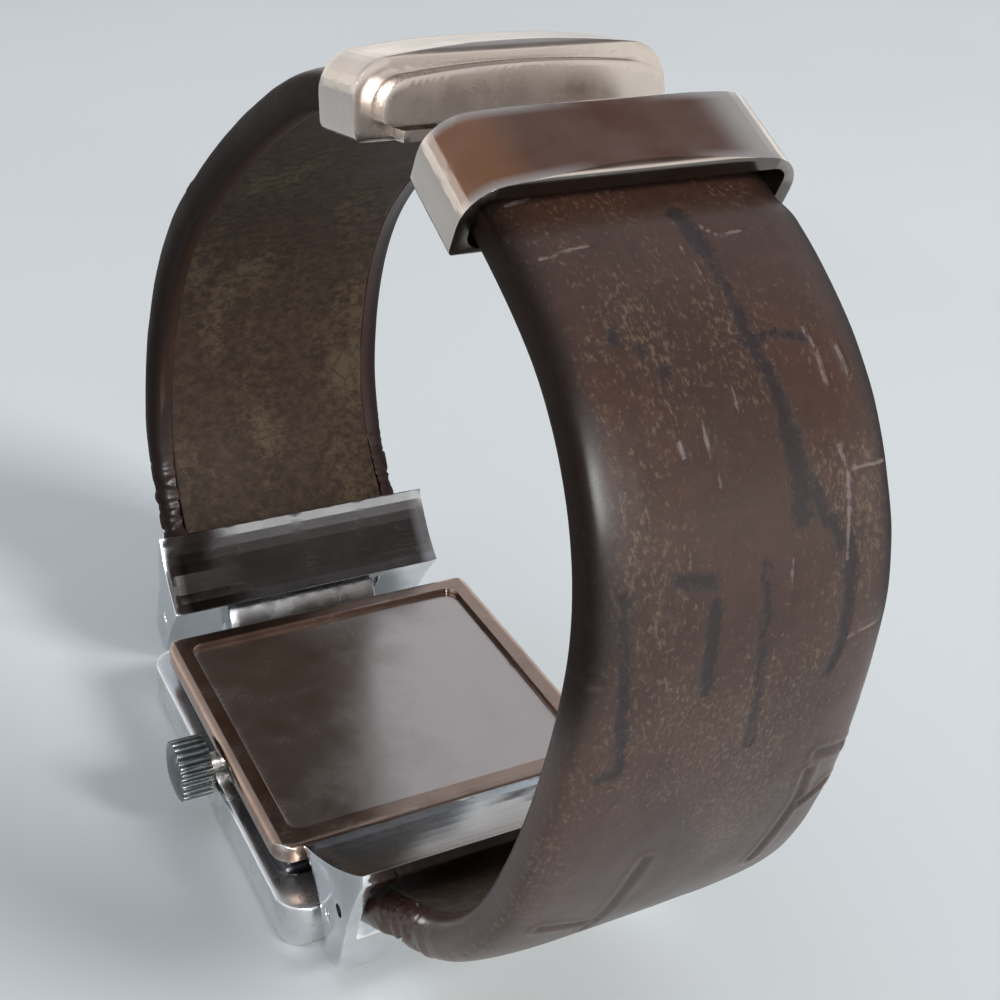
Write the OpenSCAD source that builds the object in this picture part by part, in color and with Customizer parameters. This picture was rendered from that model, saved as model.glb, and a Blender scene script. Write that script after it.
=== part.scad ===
// Square wristwatch lying dial down, with its two strap halves standing in an open loop.
// Millimetres. X runs across the wrist, Y from the 6 o'clock to the 12 o'clock side,
// Z from the dial to the case back. The origin is the middle of the bezel's front face.

/* [Case] */
// Width of the bezel across the wrist
bezel_w = 31.6; // [31:0.1:33]
// Length of the bezel from 12 to 6
bezel_l = 36.8; // [36:0.1:38]
// Height of the bezel's bright side band
bezel_h = 4; // [3.8:0.1:4.4]
// Radius of the bezel's upright corners
bezel_r = 2.6; // [1.5:0.1:3.5]
// Width and length of the square back frame
back_w = 30.4; // [29.6:0.1:30.8]
// Thickness of the back frame
back_h = 1.7; // [1.5:0.1:2.2]
// Width of the back frame's rounded rim
rim_w = 1.9; // [1.6:0.1:2.2]
// Radius of the back frame's upright corners
back_r = 2.2; // [1.5:0.1:3]
// Height of the concave waist between bezel and back frame
waist_h = 1.8; // [1.8:0.1:2.4]
// Depth of the waist's hollow
waist_hollow = 0.7; // [0.3:0.1:0.9]
// Thickness of the case back plate
back_plate_t = 0.7; // [0.5:0.1:0.8]
// How far the plate lies below the rim
back_drop = 0.5; // [0.2:0.1:0.6]

/* [Dial side] */
// Width of the crystal's seat in the bezel
window_w = 24.6; // [23:0.1:25]
// Length of the crystal's seat in the bezel
window_l = 26.6; // [25:0.1:28]
// Thickness of the crystal, which lies flush with the bezel's front face
crystal_t = 1.4; // [1.2:0.1:1.5]
// Width of the gasket round the crystal
gasket_w = 0.4; // [0.3:0.05:0.6]
// Width of the ledge that carries the crystal
ledge_w = 0.8; // [0.6:0.1:1]
// Room for the hands between crystal and dial
hand_room = 1.5; // [1.4:0.05:1.6]
// Thickness of the dial
dial_t = 0.4; // [0.3:0.05:0.5]

/* [Movement] */
// Width of the movement
movement_w = 18; // [17.4:0.1:19]
// Length of the movement
movement_l = 20; // [19.6:0.1:21]
// Thickness of the main plate
main_plate_t = 1; // [0.9:0.05:1.1]
// Radius of the battery
battery_r = 3.4; // [3:0.1:3.5]
// Thickness of the battery
battery_t = 1.5; // [1.2:0.1:1.6]
// Tooth module of the motion work
gear_m = 0.2; // [0.18:0.01:0.21]
// Teeth of the cannon pinion
cannon_teeth = 10; // [10:1:10]
// Teeth of the minute wheel
minute_teeth = 30; // [30:1:30]
// Teeth of the minute wheel's pinion
pinion_teeth = 8; // [8:1:8]
// Teeth of the hour wheel
hour_teeth = 32; // [32:1:32]

/* [Crown] */
// Diameter of the crown
crown_d = 5.2; // [4.6:0.1:5.4]
// Length of the crown
crown_l = 3.1; // [2.8:0.1:3.6]
// Number of flutes round the crown
flutes = 26; // [20:1:30]
// Radius of the crown tube
tube_r = 0.85; // [0.8:0.05:0.88]
// Radius of the winding stem
stem_r = 0.5; // [0.4:0.05:0.5]
// Travel of the stem when the crown is pulled out
pull_out = 1; // [0.6:0.1:1]

/* [Links] */
// Width of an end link
link_w = 26.8; // [26.4:0.1:27.4]
// Reach of the 12 o'clock link's wrist plate beyond the hinge pin
link_reach_12 = 7; // [6.4:0.1:8]
// Reach of the 6 o'clock link's wrist plate beyond the hinge pin
link_reach_6 = 10.4; // [8.4:0.1:10.8]
// Height of the link's wrist face above the hinge pin
link_top = 4.8; // [4.6:0.1:5]
// Depth of the link's foot below the hinge pin
link_foot = 4.4; // [4:0.1:4.6]
// Thickness of the link's walls
link_wall = 1; // [0.8:0.05:1.2]
// Distance of the hinge pin outside the bezel's end
pin_out = 2.7; // [2.6:0.1:3.2]
// Height of the hinge pin above the bezel's front face
pin_z = 5.8; // [5.6:0.1:6]
// Radius of the hinge pin
pin_r = 0.5; // [0.4:0.05:0.6]
// Width of the case's lug between the link's cheeks
lug_w = 15; // [12:0.5:16]
// Rise of the 12 o'clock link from flat, in degrees
link_tilt_12 = 52; // [45:1:53]
// Rise of the 6 o'clock link from flat, in degrees
link_tilt_6 = 31; // [26:1:36]

/* [Strap] */
// Width of the strap at the links
strap_w = 24.2; // [22:0.1:24.3]
// Width of the strap at the clasp
clasp_w = 18.8; // [17:0.1:19.2]
// Thickness of the padded strap at the links
strap_t = 3.6; // [3:0.1:3.7]
// Thickness of the strap at the clasp
clasp_t = 3; // [2.6:0.1:3.2]
// Gap between the strap and the link's wrist plate
strap_drop = 1.1; // [0.4:0.1:1.3]
// Length of the 12 o'clock half from link to clasp
strap_len_12 = 83.5; // [80:0.5:87]
// Length of the 6 o'clock half from link to clasp
strap_len_6 = 73; // [70:1:75]
// Thickness of the lining sheet
lining_t = 0.5; // [0.3:0.1:0.7]
// Width of the turned leather edge beside the lining
turned_w = 2; // [1.4:0.1:2.6]

/* [Clasp] */
// Width of the clasp caps
cap_w = 21.2; // [20.8:0.1:22]
// Height of a cap's outer face above the strap's middle
cap_out = 3.2; // [3:0.1:3.4]
// Height of a cap's wrist face above the strap's middle
cap_in = 2.1; // [2:0.1:2.4]
// Length of strap inside a cap
cap_hold = 2.3; // [2:0.1:3]
// Length of the plug on the 12 o'clock cap
plug_l = 1.8; // [1.5:0.1:2]
// Length of the magnets
magnet_l = 1; // [0.8:0.1:1.2]

/* [Hidden] */
$fn = 48;
// overrun of every cut, and the gap of a running fit
cut = 1;
run_gap = 0.05;

// heights of the case's layers
dial_z = crystal_t + hand_room;
middle_z = dial_z + dial_t;
waist_top = bezel_h + waist_h;
case_h = waist_top + back_h;
plate_z = case_h - back_drop - back_plate_t;
stem_z = bezel_h + waist_h / 2;

// plan sizes of the case's layers
ring_wall = 2.2;
cavity_w = movement_w + 2 * ring_wall;
cavity_l = movement_l + 2 * ring_wall;
// the pocket takes the dial and the case middle, so it is wider than the window and the cavity
pocket_margin = 1.4;
pocket_wall = 1;
pocket_w = max(window_w + pocket_margin, cavity_w + 2 * pocket_wall);
pocket_l = max(window_l + pocket_margin, cavity_l + 2 * pocket_wall);
waist_step = 0.6;
waist_w = back_w - 2 * waist_step;
back_seat = back_w - 2 * rim_w;
back_hole = back_seat - 2 * gasket_w - 4 * run_gap - 2 * ledge_w;
inner_r = 1.2;
front_round = 0.7;
band_round = 0.35;
rim_round = 0.8;

// the movement's upper layer
movement_r = 2.4;
upper_z = middle_z + main_plate_t;
bridge_t = 1;
board_t = 0.3;
stator_t = 0.4;

// motion work
wheel_t = 0.24;
wheel_gap = 0.06;
hour_wheel_z = middle_z + wheel_gap;
minute_wheel_z = hour_wheel_z + wheel_t + wheel_gap;
motion_depth = 2 * wheel_t + 3 * wheel_gap;
gear_distance = gear_m * (cannon_teeth + minute_teeth) / 2;
gear_angle = -50;
post_r = 0.25;
post_gap = 0.05;
cannon_r = 0.45;
pipe_r = 0.75;
hand_t = 0.15;
hour_tip_w = 0.6;
minute_tip_w = 0.5;
hub_wall = 0.5;
minute_hand_z = crystal_t + 0.4 * hand_room - 2 * hand_t;
hour_hand_z = minute_hand_z + hand_t + 2 * hand_t;
shown_hour = 10;
shown_minute = 10;

// crown
crown_gap = 0.3;
crown_x = -max(bezel_w, back_w) / 2 - crown_gap;
crown_wall = 1.2;
crown_end = 0.5;
gasket_r = 0.13;
stem_inner = movement_w / 4;

// hinge
link_back_12 = 0.4;
link_back_6 = 2.9;
plate_sag = 0.5;
crest_gap = 0.5;
// how far a raised link's crest reaches back towards the case
crest_back = max(link_back_12 * cos(link_tilt_12) + link_top * sin(link_tilt_12),
    link_back_6 * cos(link_tilt_6) + link_top * sin(link_tilt_6));
pin_y = max(bezel_l / 2 + pin_out, back_w / 2 + crest_back + crest_gap);
barrel_wall = 0.8;
barrel_r = pin_r + barrel_wall;
hinge_gap = 0.3;
foot_back = 3.2;
socket_u = barrel_r + hinge_gap + link_wall;
socket_top = link_top - plate_sag - link_wall;
socket_low = link_foot - 1.2 * link_wall;
socket_w = link_w - 2 * link_wall;
hollow_steps = 8;

// strap: shares of each half's length, and how far each stretch bends in degrees
strap_u = socket_u;
strap_v = socket_top - strap_drop - strap_t / 2;
bend_shares_12 = [[0.09, 0], [0.14, 42], [0.30, 44], [0.30, 15], [0.12, 19], [0.05, 0]];
bend_shares_6 = [[0.14, 0], [0.22, 38], [0.25, 18], [0.26, 58], [0.09, 10], [0.04, 0]];
ring_step = 2.2;
outer_steps = 12;
roundness = 0.55;
edge_r = 0.7;

// clasp
cap_gap = 0.35;
cap_floor = 0.7;
cap_dome_r = 70;
cap_shoulder_r = 2.6;
cap_edge_r = 0.6;
cap_mouth_r = 1;
dome_steps = 12;
shoulder_steps = 7;
foot_steps = 3;
cap_len_12 = 3.2;
plug_inset = 1.1;
plug_gap = 0.2;
magnet_w = 12;
magnet_h = 2.2;
magnet_wall = 0.3;
magnet_y_12 = cap_len_12 + plug_l - magnet_wall - magnet_l;
tongue_l = 1.3;
tongue_t = 0.7;

// a rectangle with round corners
module round_rect(w, l, r) {
    square([w - 2 * r, l], center = true);
    square([w, l - 2 * r], center = true);
    for (sx = [-1, 1], sy = [-1, 1])
        translate([sx * (w / 2 - r), sy * (l / 2 - r)]) circle(r);
}

module slab(w, l, r, z, h) {
    translate([0, 0, z]) linear_extrude(h) round_rect(w, l, r);
}

// a side view with round lower and upper corners, standing on its baseline
module side_view(w, h, low_r, high_r) {
    translate([-w / 2, low_r]) square([w, h - low_r - high_r]);
    for (s = [-1, 1]) {
        translate([s * (w / 2 - low_r), low_r]) circle(low_r);
        translate([s * (w / 2 - high_r), h - high_r]) circle(high_r);
    }
    translate([-w / 2 + low_r, 0]) square([w - 2 * low_r, h / 2]);
    translate([-w / 2 + high_r, h / 2]) square([w - 2 * high_r, h / 2]);
}

// extrusion along X of a drawing in the Y and Z directions
module along_x(len) {
    rotate([90, 0, 90]) linear_extrude(len, center = true) children();
}

// extrusion along Y of a drawing in the X and Z directions, from y0 to y1
module along_y(y0, y1) {
    translate([0, y1, 0]) rotate([90, 0, 0]) linear_extrude(y1 - y0) children();
}

// a slab whose front and back edges are rounded all round
module soft_slab(w, l, r, z, h, low_r, high_r) {
    intersection() {
        slab(w, l, r, z, h);
        translate([0, 0, z]) along_x(w + 2 * cut) side_view(l, h, low_r, high_r);
        translate([0, 0, z]) along_y(-l / 2 - cut, l / 2 + cut) side_view(w, h, low_r, high_r);
    }
}

module x_cylinder(r, x0, x1) {
    translate([x0, 0, 0]) rotate([0, 90, 0]) cylinder(r = r, h = x1 - x0);
}

// Case

module lug() {
    neck_low = 0.2 * bezel_h;
    neck_high = 0.85 * bezel_h;
    end = bezel_l / 2;
    difference() {
        union() {
            along_x(lug_w) polygon([
                [end - pin_out / 3, neck_low], [end + pin_out / 2, neck_low],
                [pin_y + 0.8 * barrel_r, pin_z - 0.6 * barrel_r],
                [pin_y - 0.6 * barrel_r, pin_z + 0.8 * barrel_r],
                [end, neck_high], [end - pin_out / 3, neck_high]]);
            translate([0, pin_y, pin_z]) x_cylinder(barrel_r, -lug_w / 2, lug_w / 2);
        }
        translate([0, pin_y, pin_z])
            x_cylinder(pin_r + run_gap, -lug_w / 2 - cut, lug_w / 2 + cut);
    }
}

module bezel() {
    color("gainsboro") {
        difference() {
            soft_slab(bezel_w, bezel_l, bezel_r, 0, bezel_h, front_round, band_round);
            slab(window_w, window_l, inner_r, -cut, cut + crystal_t);
            slab(window_w - 2 * ledge_w, window_l - 2 * ledge_w, inner_r, -cut, bezel_h + 2 * cut);
            slab(pocket_w, pocket_l, inner_r, dial_z, bezel_h);
        }
        lug();
        mirror([0, 1, 0]) lug();
    }
}

module crystal() {
    color("aliceblue", 0.4)
        slab(window_w - 2 * gasket_w, window_l - 2 * gasket_w, inner_r - gasket_w, 0, crystal_t);
}

module crystal_gasket() {
    color("dimgray") difference() {
        slab(window_w, window_l, inner_r, 0, crystal_t);
        slab(window_w - 2 * gasket_w, window_l - 2 * gasket_w, inner_r - gasket_w, -cut, bezel_h);
    }
}

module dial() {
    color("ivory") difference() {
        slab(pocket_w, pocket_l, inner_r, dial_z, dial_t);
        translate([0, 0, dial_z - cut]) cylinder(r = pipe_r + 2 * run_gap, h = dial_t + 2 * cut);
    }
}

// twelve applied bars on a square track
module hour_markers() {
    track_w = window_w / 2 - ledge_w - 2.4 * inner_r;
    track_l = window_l / 2 - ledge_w - 2.4 * inner_r;
    bar_w = 0.7;
    bar_l = 2.6;
    bar_h = 0.25;
    color("silver") for (i = [0:11]) {
        a = 30 * i;
        reach = min(track_w / max(abs(sin(a)), 0.01), track_l / max(abs(cos(a)), 0.01));
        translate([reach * sin(a), reach * cos(a), dial_z - bar_h / 2]) rotate([0, 0, -a])
            cube([i % 3 == 0 ? 2 * bar_w : bar_w, bar_l, bar_h], center = true);
    }
}

module case_middle() {
    hollow_r = (waist_h * waist_h / 4 + waist_hollow * waist_hollow) / (2 * waist_hollow);
    color("gray") difference() {
        union() {
            slab(pocket_w, pocket_l, inner_r, middle_z, bezel_h - middle_z);
            intersection() {
                slab(waist_w, waist_w, back_r - waist_step, bezel_h, waist_h);
                along_x(2 * waist_w) waist_view(hollow_r);
                along_y(-waist_w, waist_w) waist_view(hollow_r);
            }
        }
        slab(cavity_w, cavity_l, inner_r, 0, case_h);
        translate([0, 0, stem_z]) x_cylinder(tube_r, -waist_w, 0);
    }
}

// side view of the waist, hollowed by a circle on each side
module waist_view(r) {
    difference() {
        translate([-waist_w / 2, bezel_h]) square([waist_w, waist_h]);
        for (s = [-1, 1])
            translate([s * (waist_w / 2 - waist_hollow + r), stem_z]) circle(r);
    }
}

module back_frame() {
    color("silver") difference() {
        soft_slab(back_w, back_w, back_r, waist_top, back_h, band_round, rim_round);
        slab(back_hole, back_hole, inner_r, 0, 2 * case_h);
        slab(back_seat, back_seat, inner_r, plate_z, back_h);
        gasket_ring(cut);
    }
}

// the ring under the case back, with extra height for its groove
module gasket_ring(extra) {
    ring = back_seat - 4 * run_gap;
    translate([0, 0, plate_z - gasket_w / 2]) linear_extrude(gasket_w / 2 + extra) difference() {
        round_rect(ring, ring, inner_r);
        round_rect(ring - 2 * gasket_w, ring - 2 * gasket_w, inner_r - gasket_w);
    }
}

module back_gasket() {
    color("black") gasket_ring(0);
}

module case_back() {
    color("rosybrown") slab(back_seat, back_seat, inner_r, plate_z, back_plate_t);
}

// Movement

module movement_ring() {
    ring_h = waist_top - middle_z;
    color("whitesmoke") difference() {
        slab(cavity_w, cavity_l, inner_r, middle_z, ring_h);
        slab(movement_w, movement_l, movement_r, 0, case_h);
        translate([0, 0, stem_z]) x_cylinder(stem_r + 2 * run_gap, -cavity_w, 0);
    }
}

// the minute wheel's centre
module at_minute_wheel() {
    rotate([0, 0, gear_angle]) translate([gear_distance, 0, 0]) children();
}

module main_plate() {
    color("goldenrod") {
        difference() {
            slab(movement_w, movement_l, movement_r, middle_z, main_plate_t);
            translate([0, 0, middle_z - cut])
                cylinder(r = gear_m * (hour_teeth / 2 + 2), h = motion_depth + cut);
            at_minute_wheel() translate([0, 0, middle_z - cut])
                cylinder(r = gear_m * (minute_teeth / 2 + 2), h = motion_depth + cut);
        }
        post_top = middle_z + motion_depth;
        translate([0, 0, minute_hand_z]) cylinder(r = post_r, h = post_top - minute_hand_z);
        at_minute_wheel() translate([0, 0, middle_z])
            cylinder(r = post_r, h = motion_depth);
    }
}

module train_bridge() {
    x0 = -movement_w / 2 + 4 * stem_r;
    y0 = 3 * stem_r;
    bridge_w = movement_w / 2 - 6 * stem_r;
    bridge_l = movement_l / 2 - 5 * stem_r;
    color("darkkhaki") translate([x0, y0, upper_z]) cube([bridge_w, bridge_l, bridge_t]);
}

module stator() {
    color("slategray") translate([0, 0, upper_z]) linear_extrude(stator_t) difference() {
        union() {
            translate([0, -0.25 * movement_l])
                square([0.75 * movement_w, 0.2 * movement_l], center = true);
            for (s = [-1, 1]) translate([s * 0.32 * movement_w, -0.35 * movement_l])
                square([0.1 * movement_w, 0.2 * movement_l], center = true);
        }
        translate([0, -0.25 * movement_l]) circle(0.06 * movement_w);
    }
}

module circuit_board() {
    color("darkgreen") translate([0, -0.24 * movement_l, upper_z + stator_t + board_t / 2])
        cube([0.8 * movement_w, 0.16 * movement_l, board_t], center = true);
}

module coil() {
    coil_r = 0.7;
    coil_len = 0.46 * movement_w;
    y = -0.4 * movement_l;
    color("chocolate") translate([0, y, upper_z + stator_t]) {
        translate([0, 0, coil_r]) x_cylinder(coil_r, -coil_len / 2, coil_len / 2);
        core_w = 0.74 * movement_w;
        translate([-core_w / 2, -coil_r / 2, 0]) cube([core_w, coil_r, board_t]);
    }
}

module battery_place() {
    translate([movement_w / 2 - battery_r - 4 * stem_r, movement_l / 4, upper_z]) children();
}

module battery() {
    color("silver") battery_place() {
        step = 0.25;
        cylinder(r = battery_r - step, h = battery_t);
        translate([0, 0, step]) cylinder(r = battery_r, h = battery_t - step);
    }
}

module battery_clamp() {
    clamp_w = 1.6;
    clamp_t = 0.2;
    clamp_reach = 0.8;
    color("gold") battery_place() {
        reach = battery_r + clamp_reach;
        translate([-clamp_w / 2, -reach, battery_t]) cube([clamp_w, reach + battery_r / 2, clamp_t]);
        translate([-clamp_w / 2, -reach, 0]) cube([clamp_w, clamp_t, battery_t]);
    }
}

module movement_screws() {
    head_r = 0.55;
    head_h = 0.25;
    slot_w = 0.15;
    x0 = -movement_w / 2 + 4 * stem_r + 2 * head_r;
    x1 = -3 * head_r;
    for (x = [x0, x1], y = [5.5 * stem_r, 0.38 * movement_l])
        color("lightsteelblue") translate([x, y, upper_z + bridge_t]) difference() {
            cylinder(r = head_r, h = head_h);
            translate([0, 0, head_h]) cube([3 * head_r, slot_w, head_h], center = true);
        }
}

// a gear of n teeth; its first tooth points along the angle given
module gear(n, bore, angle) {
    pitch_r = gear_m * n / 2;
    root_r = pitch_r - 1.15 * gear_m;
    tip_r = pitch_r + 0.75 * gear_m;
    base = 0.8 * gear_m;
    tip = 0.28 * gear_m;
    linear_extrude(wheel_t) difference() {
        union() {
            circle(root_r);
            for (i = [0:n - 1]) rotate(angle + 360 * i / n) polygon([
                [0.9 * root_r, -base], [root_r, -base], [tip_r, -tip],
                [tip_r, tip], [root_r, base], [0.9 * root_r, base]]);
        }
        circle(bore);
    }
}

module hour_wheel() {
    color("gold") {
        translate([0, 0, hour_wheel_z])
            gear(hour_teeth, cannon_r + post_gap, gear_angle + 180 / hour_teeth);
        translate([0, 0, hour_hand_z]) difference() {
            cylinder(r = pipe_r, h = hour_wheel_z + wheel_t - hour_hand_z);
            translate([0, 0, -cut]) cylinder(r = cannon_r + post_gap, h = case_h);
        }
    }
}

module cannon_pinion() {
    color("gold") {
        translate([0, 0, minute_wheel_z])
            gear(cannon_teeth, post_r + post_gap, gear_angle + 180 / cannon_teeth);
        translate([0, 0, minute_hand_z]) difference() {
            cylinder(r = cannon_r, h = minute_wheel_z + wheel_t - minute_hand_z);
            translate([0, 0, -cut]) cylinder(r = post_r + post_gap, h = case_h);
        }
    }
}

module minute_wheel() {
    color("gold") at_minute_wheel() {
        translate([0, 0, minute_wheel_z]) rotate(-gear_angle)
            gear(minute_teeth, post_r + post_gap, gear_angle + 180);
        translate([0, 0, hour_wheel_z]) rotate(-gear_angle)
            gear(pinion_teeth, post_r + post_gap, gear_angle + 180);
        translate([0, 0, hour_wheel_z]) difference() {
            cylinder(r = 2 * post_r, h = wheel_t + wheel_gap);
            translate([0, 0, -cut]) cylinder(r = post_r + post_gap, h = case_h);
        }
    }
}

// a tapered hand from the centre to its tip, with a round eye
module hand(reach, tail, half_w, eye_r, bore) {
    linear_extrude(hand_t) difference() {
        union() {
            polygon([[-half_w, -tail], [half_w, -tail], [half_w, 0.7 * reach], [0, reach],
                [-half_w, 0.7 * reach]]);
            circle(eye_r);
        }
        circle(bore);
    }
}

module hour_hand() {
    color("darkslategray") translate([0, 0, hour_hand_z]) rotate([0, 0, 30 * (shown_hour + shown_minute / 60)])
        hand(0.25 * window_l, 2 * pipe_r, hour_tip_w, pipe_r + hub_wall, pipe_r);
}

module minute_hand() {
    color("darkslategray") translate([0, 0, minute_hand_z]) rotate([0, 0, 6 * shown_minute])
        hand(0.37 * window_l, 2 * pipe_r, minute_tip_w, cannon_r + 1.2 * hub_wall, cannon_r);
}

// Crown

module crown_tube() {
    tube_end = crown_x - crown_l + crown_wall + 2 * crown_gap / 3;
    color("lightgray") translate([0, 0, stem_z]) difference() {
        x_cylinder(tube_r, tube_end, -cavity_w / 2);
        x_cylinder(stem_r + 2 * run_gap, tube_end - cut, 0);
    }
}

module stem() {
    groove_l = 0.6;
    color("dimgray") translate([0, 0, stem_z]) difference() {
        x_cylinder(stem_r, crown_x - crown_l + crown_end, -stem_inner);
        translate([-stem_inner - 2 * groove_l, 0, 0]) rotate([0, 90, 0]) difference() {
            cylinder(r = 2 * stem_r, h = groove_l);
            translate([0, 0, -cut]) cylinder(r = 0.7 * stem_r, h = groove_l + 2 * cut);
        }
    }
}

module crown() {
    r = crown_d / 2;
    flute_r = 0.26;
    dome_r = 3 * r;
    outer_x = crown_x - crown_l;
    color("darkgray") translate([0, 0, stem_z]) difference() {
        intersection() {
            x_cylinder(r, outer_x, crown_x);
            translate([outer_x + dome_r, 0, 0]) sphere(dome_r);
            translate([outer_x, 0, 0]) rotate([0, 90, 0])
                cylinder(r1 = r - crown_gap, r2 = r + crown_l - crown_gap, h = crown_l);
        }
        for (i = [0:flutes - 1]) rotate([360 * i / flutes, 0, 0])
            translate([0, 0, r + 0.35 * flute_r]) x_cylinder(flute_r, outer_x - cut, crown_x + cut);
        x_cylinder(tube_r + crown_gap, outer_x + crown_wall, crown_x + cut);
        x_cylinder(stem_r + run_gap, outer_x + crown_end, crown_x);
    }
}

module crown_gasket() {
    ring_r = tube_r + crown_gap - gasket_r;
    color("black") translate([crown_x - 2 * gasket_r, 0, stem_z]) rotate([0, 90, 0])
        rotate_extrude() translate([ring_r, 0]) circle(gasket_r, $fn = 24);
}

// Links

// the link's own frame: origin on the hinge pin, Y outwards, Z towards the wrist
module at_link(tilt) {
    translate([0, pin_y, pin_z]) rotate([tilt, 0, 0]) children();
}

// points of a round hollow between two corners, by the hollow's depth as a share of the chord
function hollow(a, b, sag_share) = [for (i = [1:hollow_steps - 1]) let (k = i / hollow_steps)
    a + (b - a) * k + [a.y - b.y, b.x - a.x] * sag_share * 4 * k * (1 - k)];

module link_side(reach, back) {
    lip = 0.25 * link_wall;
    back_sag = (back + foot_back) / 2 - pin_r - link_wall;
    lip_hollow_share = 0.05;
    crest = [-back, link_top];
    brow = [reach, link_top];
    brow_low = [reach - lip, link_top - 0.8 * link_wall];
    toe = [lip, -link_foot];
    heel = [-foot_back, -0.93 * link_foot];
    polygon(concat([crest], hollow(crest, heel, back_sag / norm(crest - heel)), [heel, toe],
        hollow(toe, brow_low, lip_hollow_share), [brow_low, brow],
        hollow(brow, crest, plate_sag / (reach + back))));
}

module link(tilt, reach, back) {
    inner_w = lug_w + 2 * hinge_gap;
    cheek_u = barrel_r + hinge_gap;
    at_link(tilt) difference() {
        along_x(link_w) link_side(reach, back);
        // socket for the strap
        translate([-socket_w / 2, socket_u, -socket_low]) cube([socket_w, reach, socket_low + socket_top]);
        // room for the case's lug, open towards the case
        translate([-inner_w / 2, -2 * reach, -2 * link_foot])
            cube([inner_w, 2 * reach + cheek_u, 2 * link_foot + socket_top]);
        x_cylinder(pin_r, -link_w, link_w);
    }
}

module link_pin(tilt) {
    pin_l = link_w - link_wall;
    color("silver") at_link(tilt) x_cylinder(pin_r, -pin_l / 2, pin_l / 2);
}

// Strap

function signed_power(x, e) = sign(x) * pow(abs(x), e);

// where a bend of a given length and turn leads, from a place [u, v, heading]
function bend_end(p, len, turn) = let (h = p[2]) turn == 0
    ? [p[0] + len * cos(h), p[1] + len * sin(h), h]
    : let (r = len * 180 / (turn * PI)) [p[0] + r * (sin(h + turn) - sin(h)),
        p[1] - r * (cos(h + turn) - cos(h)), h + turn];

function bend_start(shares, len, i) = i == 0 ? [strap_u, strap_v, 0]
    : bend_end(bend_start(shares, len, i - 1), shares[i - 1][0] * len, shares[i - 1][1]);

function share_sum(shares, i) = i < 0 ? 0 : shares[i][0] + share_sum(shares, i - 1);

// places along the strap: [[u, v, heading], share of the length]
function stations(shares, len) = [for (i = [0:len(shares) - 1])
    let (part = shares[i][0], steps = ceil(part * len / ring_step), p = bend_start(shares, len, i))
    for (k = [i == 0 ? 0 : 1:steps]) [bend_end(p, part * len * k / steps, shares[i][1] * k / steps),
        share_sum(shares, i - 1) + part * k / steps]];

// the strap narrows and thins smoothly towards the clasp
function ease(s) = s * s * (3 - 2 * s);
function half_width(s) = (strap_w + (clasp_w - strap_w) * ease(min(1, 1.15 * s))) / 2;
function half_thick(s) = (strap_t + (clasp_t - strap_t) * s) / 2;

// section of the leather: rounded outside, flat inside with a shallow seat for the lining
function leather_section(w, t) = concat(
    [for (i = [0:outer_steps]) let (a = 180 * i / outer_steps)
        [w * signed_power(cos(a), roundness), -t * signed_power(sin(a), roundness)]],
    [[-w, t - edge_r], [-w + edge_r, t], [-w + turned_w, t], [-w + turned_w, t - lining_t],
    [w - turned_w, t - lining_t], [w - turned_w, t], [w - edge_r, t], [w, t - edge_r]]);

function lining_section(w, t) = [[w - turned_w, t - lining_t], [-w + turned_w, t - lining_t],
    [-w + turned_w, t], [w - turned_w, t]];

// a section point set on its place along the strap
function set_point(q, p) = [q.x, p[0] - q.y * sin(p[2]), p[1] + q.y * cos(p[2])];

module sweep(rings) {
    n = len(rings[0]);
    last = len(rings) - 1;
    points = [for (ring = rings) for (p = ring) p];
    walls = [for (i = [0:last - 1], k = [0:n - 1]) let (
        a = i * n + k, b = i * n + (k + 1) % n) each [[a, b, a + n], [b, b + n, a + n]]];
    polyhedron(points, concat(walls, [[for (k = [0:n - 1]) n - 1 - k],
        [for (k = [0:n - 1]) last * n + k]]), convexity = 4);
}

module leather(shares, len) {
    sweep([for (s = stations(shares, len))
        [for (q = leather_section(half_width(s[1]), half_thick(s[1]))) set_point(q, s[0])]]);
}

module lining(shares, len) {
    sweep([for (s = stations(shares, len))
        [for (q = lining_section(half_width(s[1]), half_thick(s[1]))) set_point(q, s[0])]]);
}

// Clasp

// the strap end's own frame: Y onwards along the strap, Z towards the wrist
module at_strap_end(shares, len) {
    p = bend_start(shares, len, len(shares));
    translate([0, p[0], p[1]]) rotate([p[2], 0, 0]) children();
}

function arc_points(middle, r, from, to, steps) =
    [for (i = [0:steps]) let (a = from + (to - from) * i / steps) middle + r * [cos(a), sin(a)]];

// cross view of a cap, domed outside with round shoulders that run into the dome, flat on the wrist side
module cap_view(inset) {
    r = cap_shoulder_r - inset / 2;
    foot_x = cap_w / 2 - inset - cap_edge_r;
    foot_y = cap_in - inset - cap_edge_r;
    shoulder_x = cap_w / 2 - inset - r;
    dome_y = cap_dome_r - cap_out + inset;
    lean = asin(shoulder_x / (cap_dome_r - r));
    shoulder_y = dome_y - (cap_dome_r - r) * cos(lean);
    inner = lean * (1 - 1 / dome_steps);
    polygon(concat(
        arc_points([-shoulder_x, shoulder_y], r, 180, 270 - lean, shoulder_steps),
        arc_points([0, dome_y], cap_dome_r, 270 - inner, 270 + inner, dome_steps),
        arc_points([shoulder_x, shoulder_y], r, 270 + lean, 360, shoulder_steps),
        arc_points([foot_x, foot_y], cap_edge_r, 0, 90, foot_steps),
        arc_points([-foot_x, foot_y], cap_edge_r, 90, 180, foot_steps)));
}

// side view of a cap's edges rounded at both ends, from y0 to y1
module cap_side(y0, y1) {
    translate([(y0 + y1) / 2, -cap_out]) side_view(y1 - y0, cap_in + cap_out, cap_edge_r, cap_edge_r / 2);
}

module cap_shell(y0, y1) {
    intersection() {
        along_y(y0, y1) cap_view(0);
        along_x(cap_w + cut) cap_side(y0, y1);
    }
}

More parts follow.
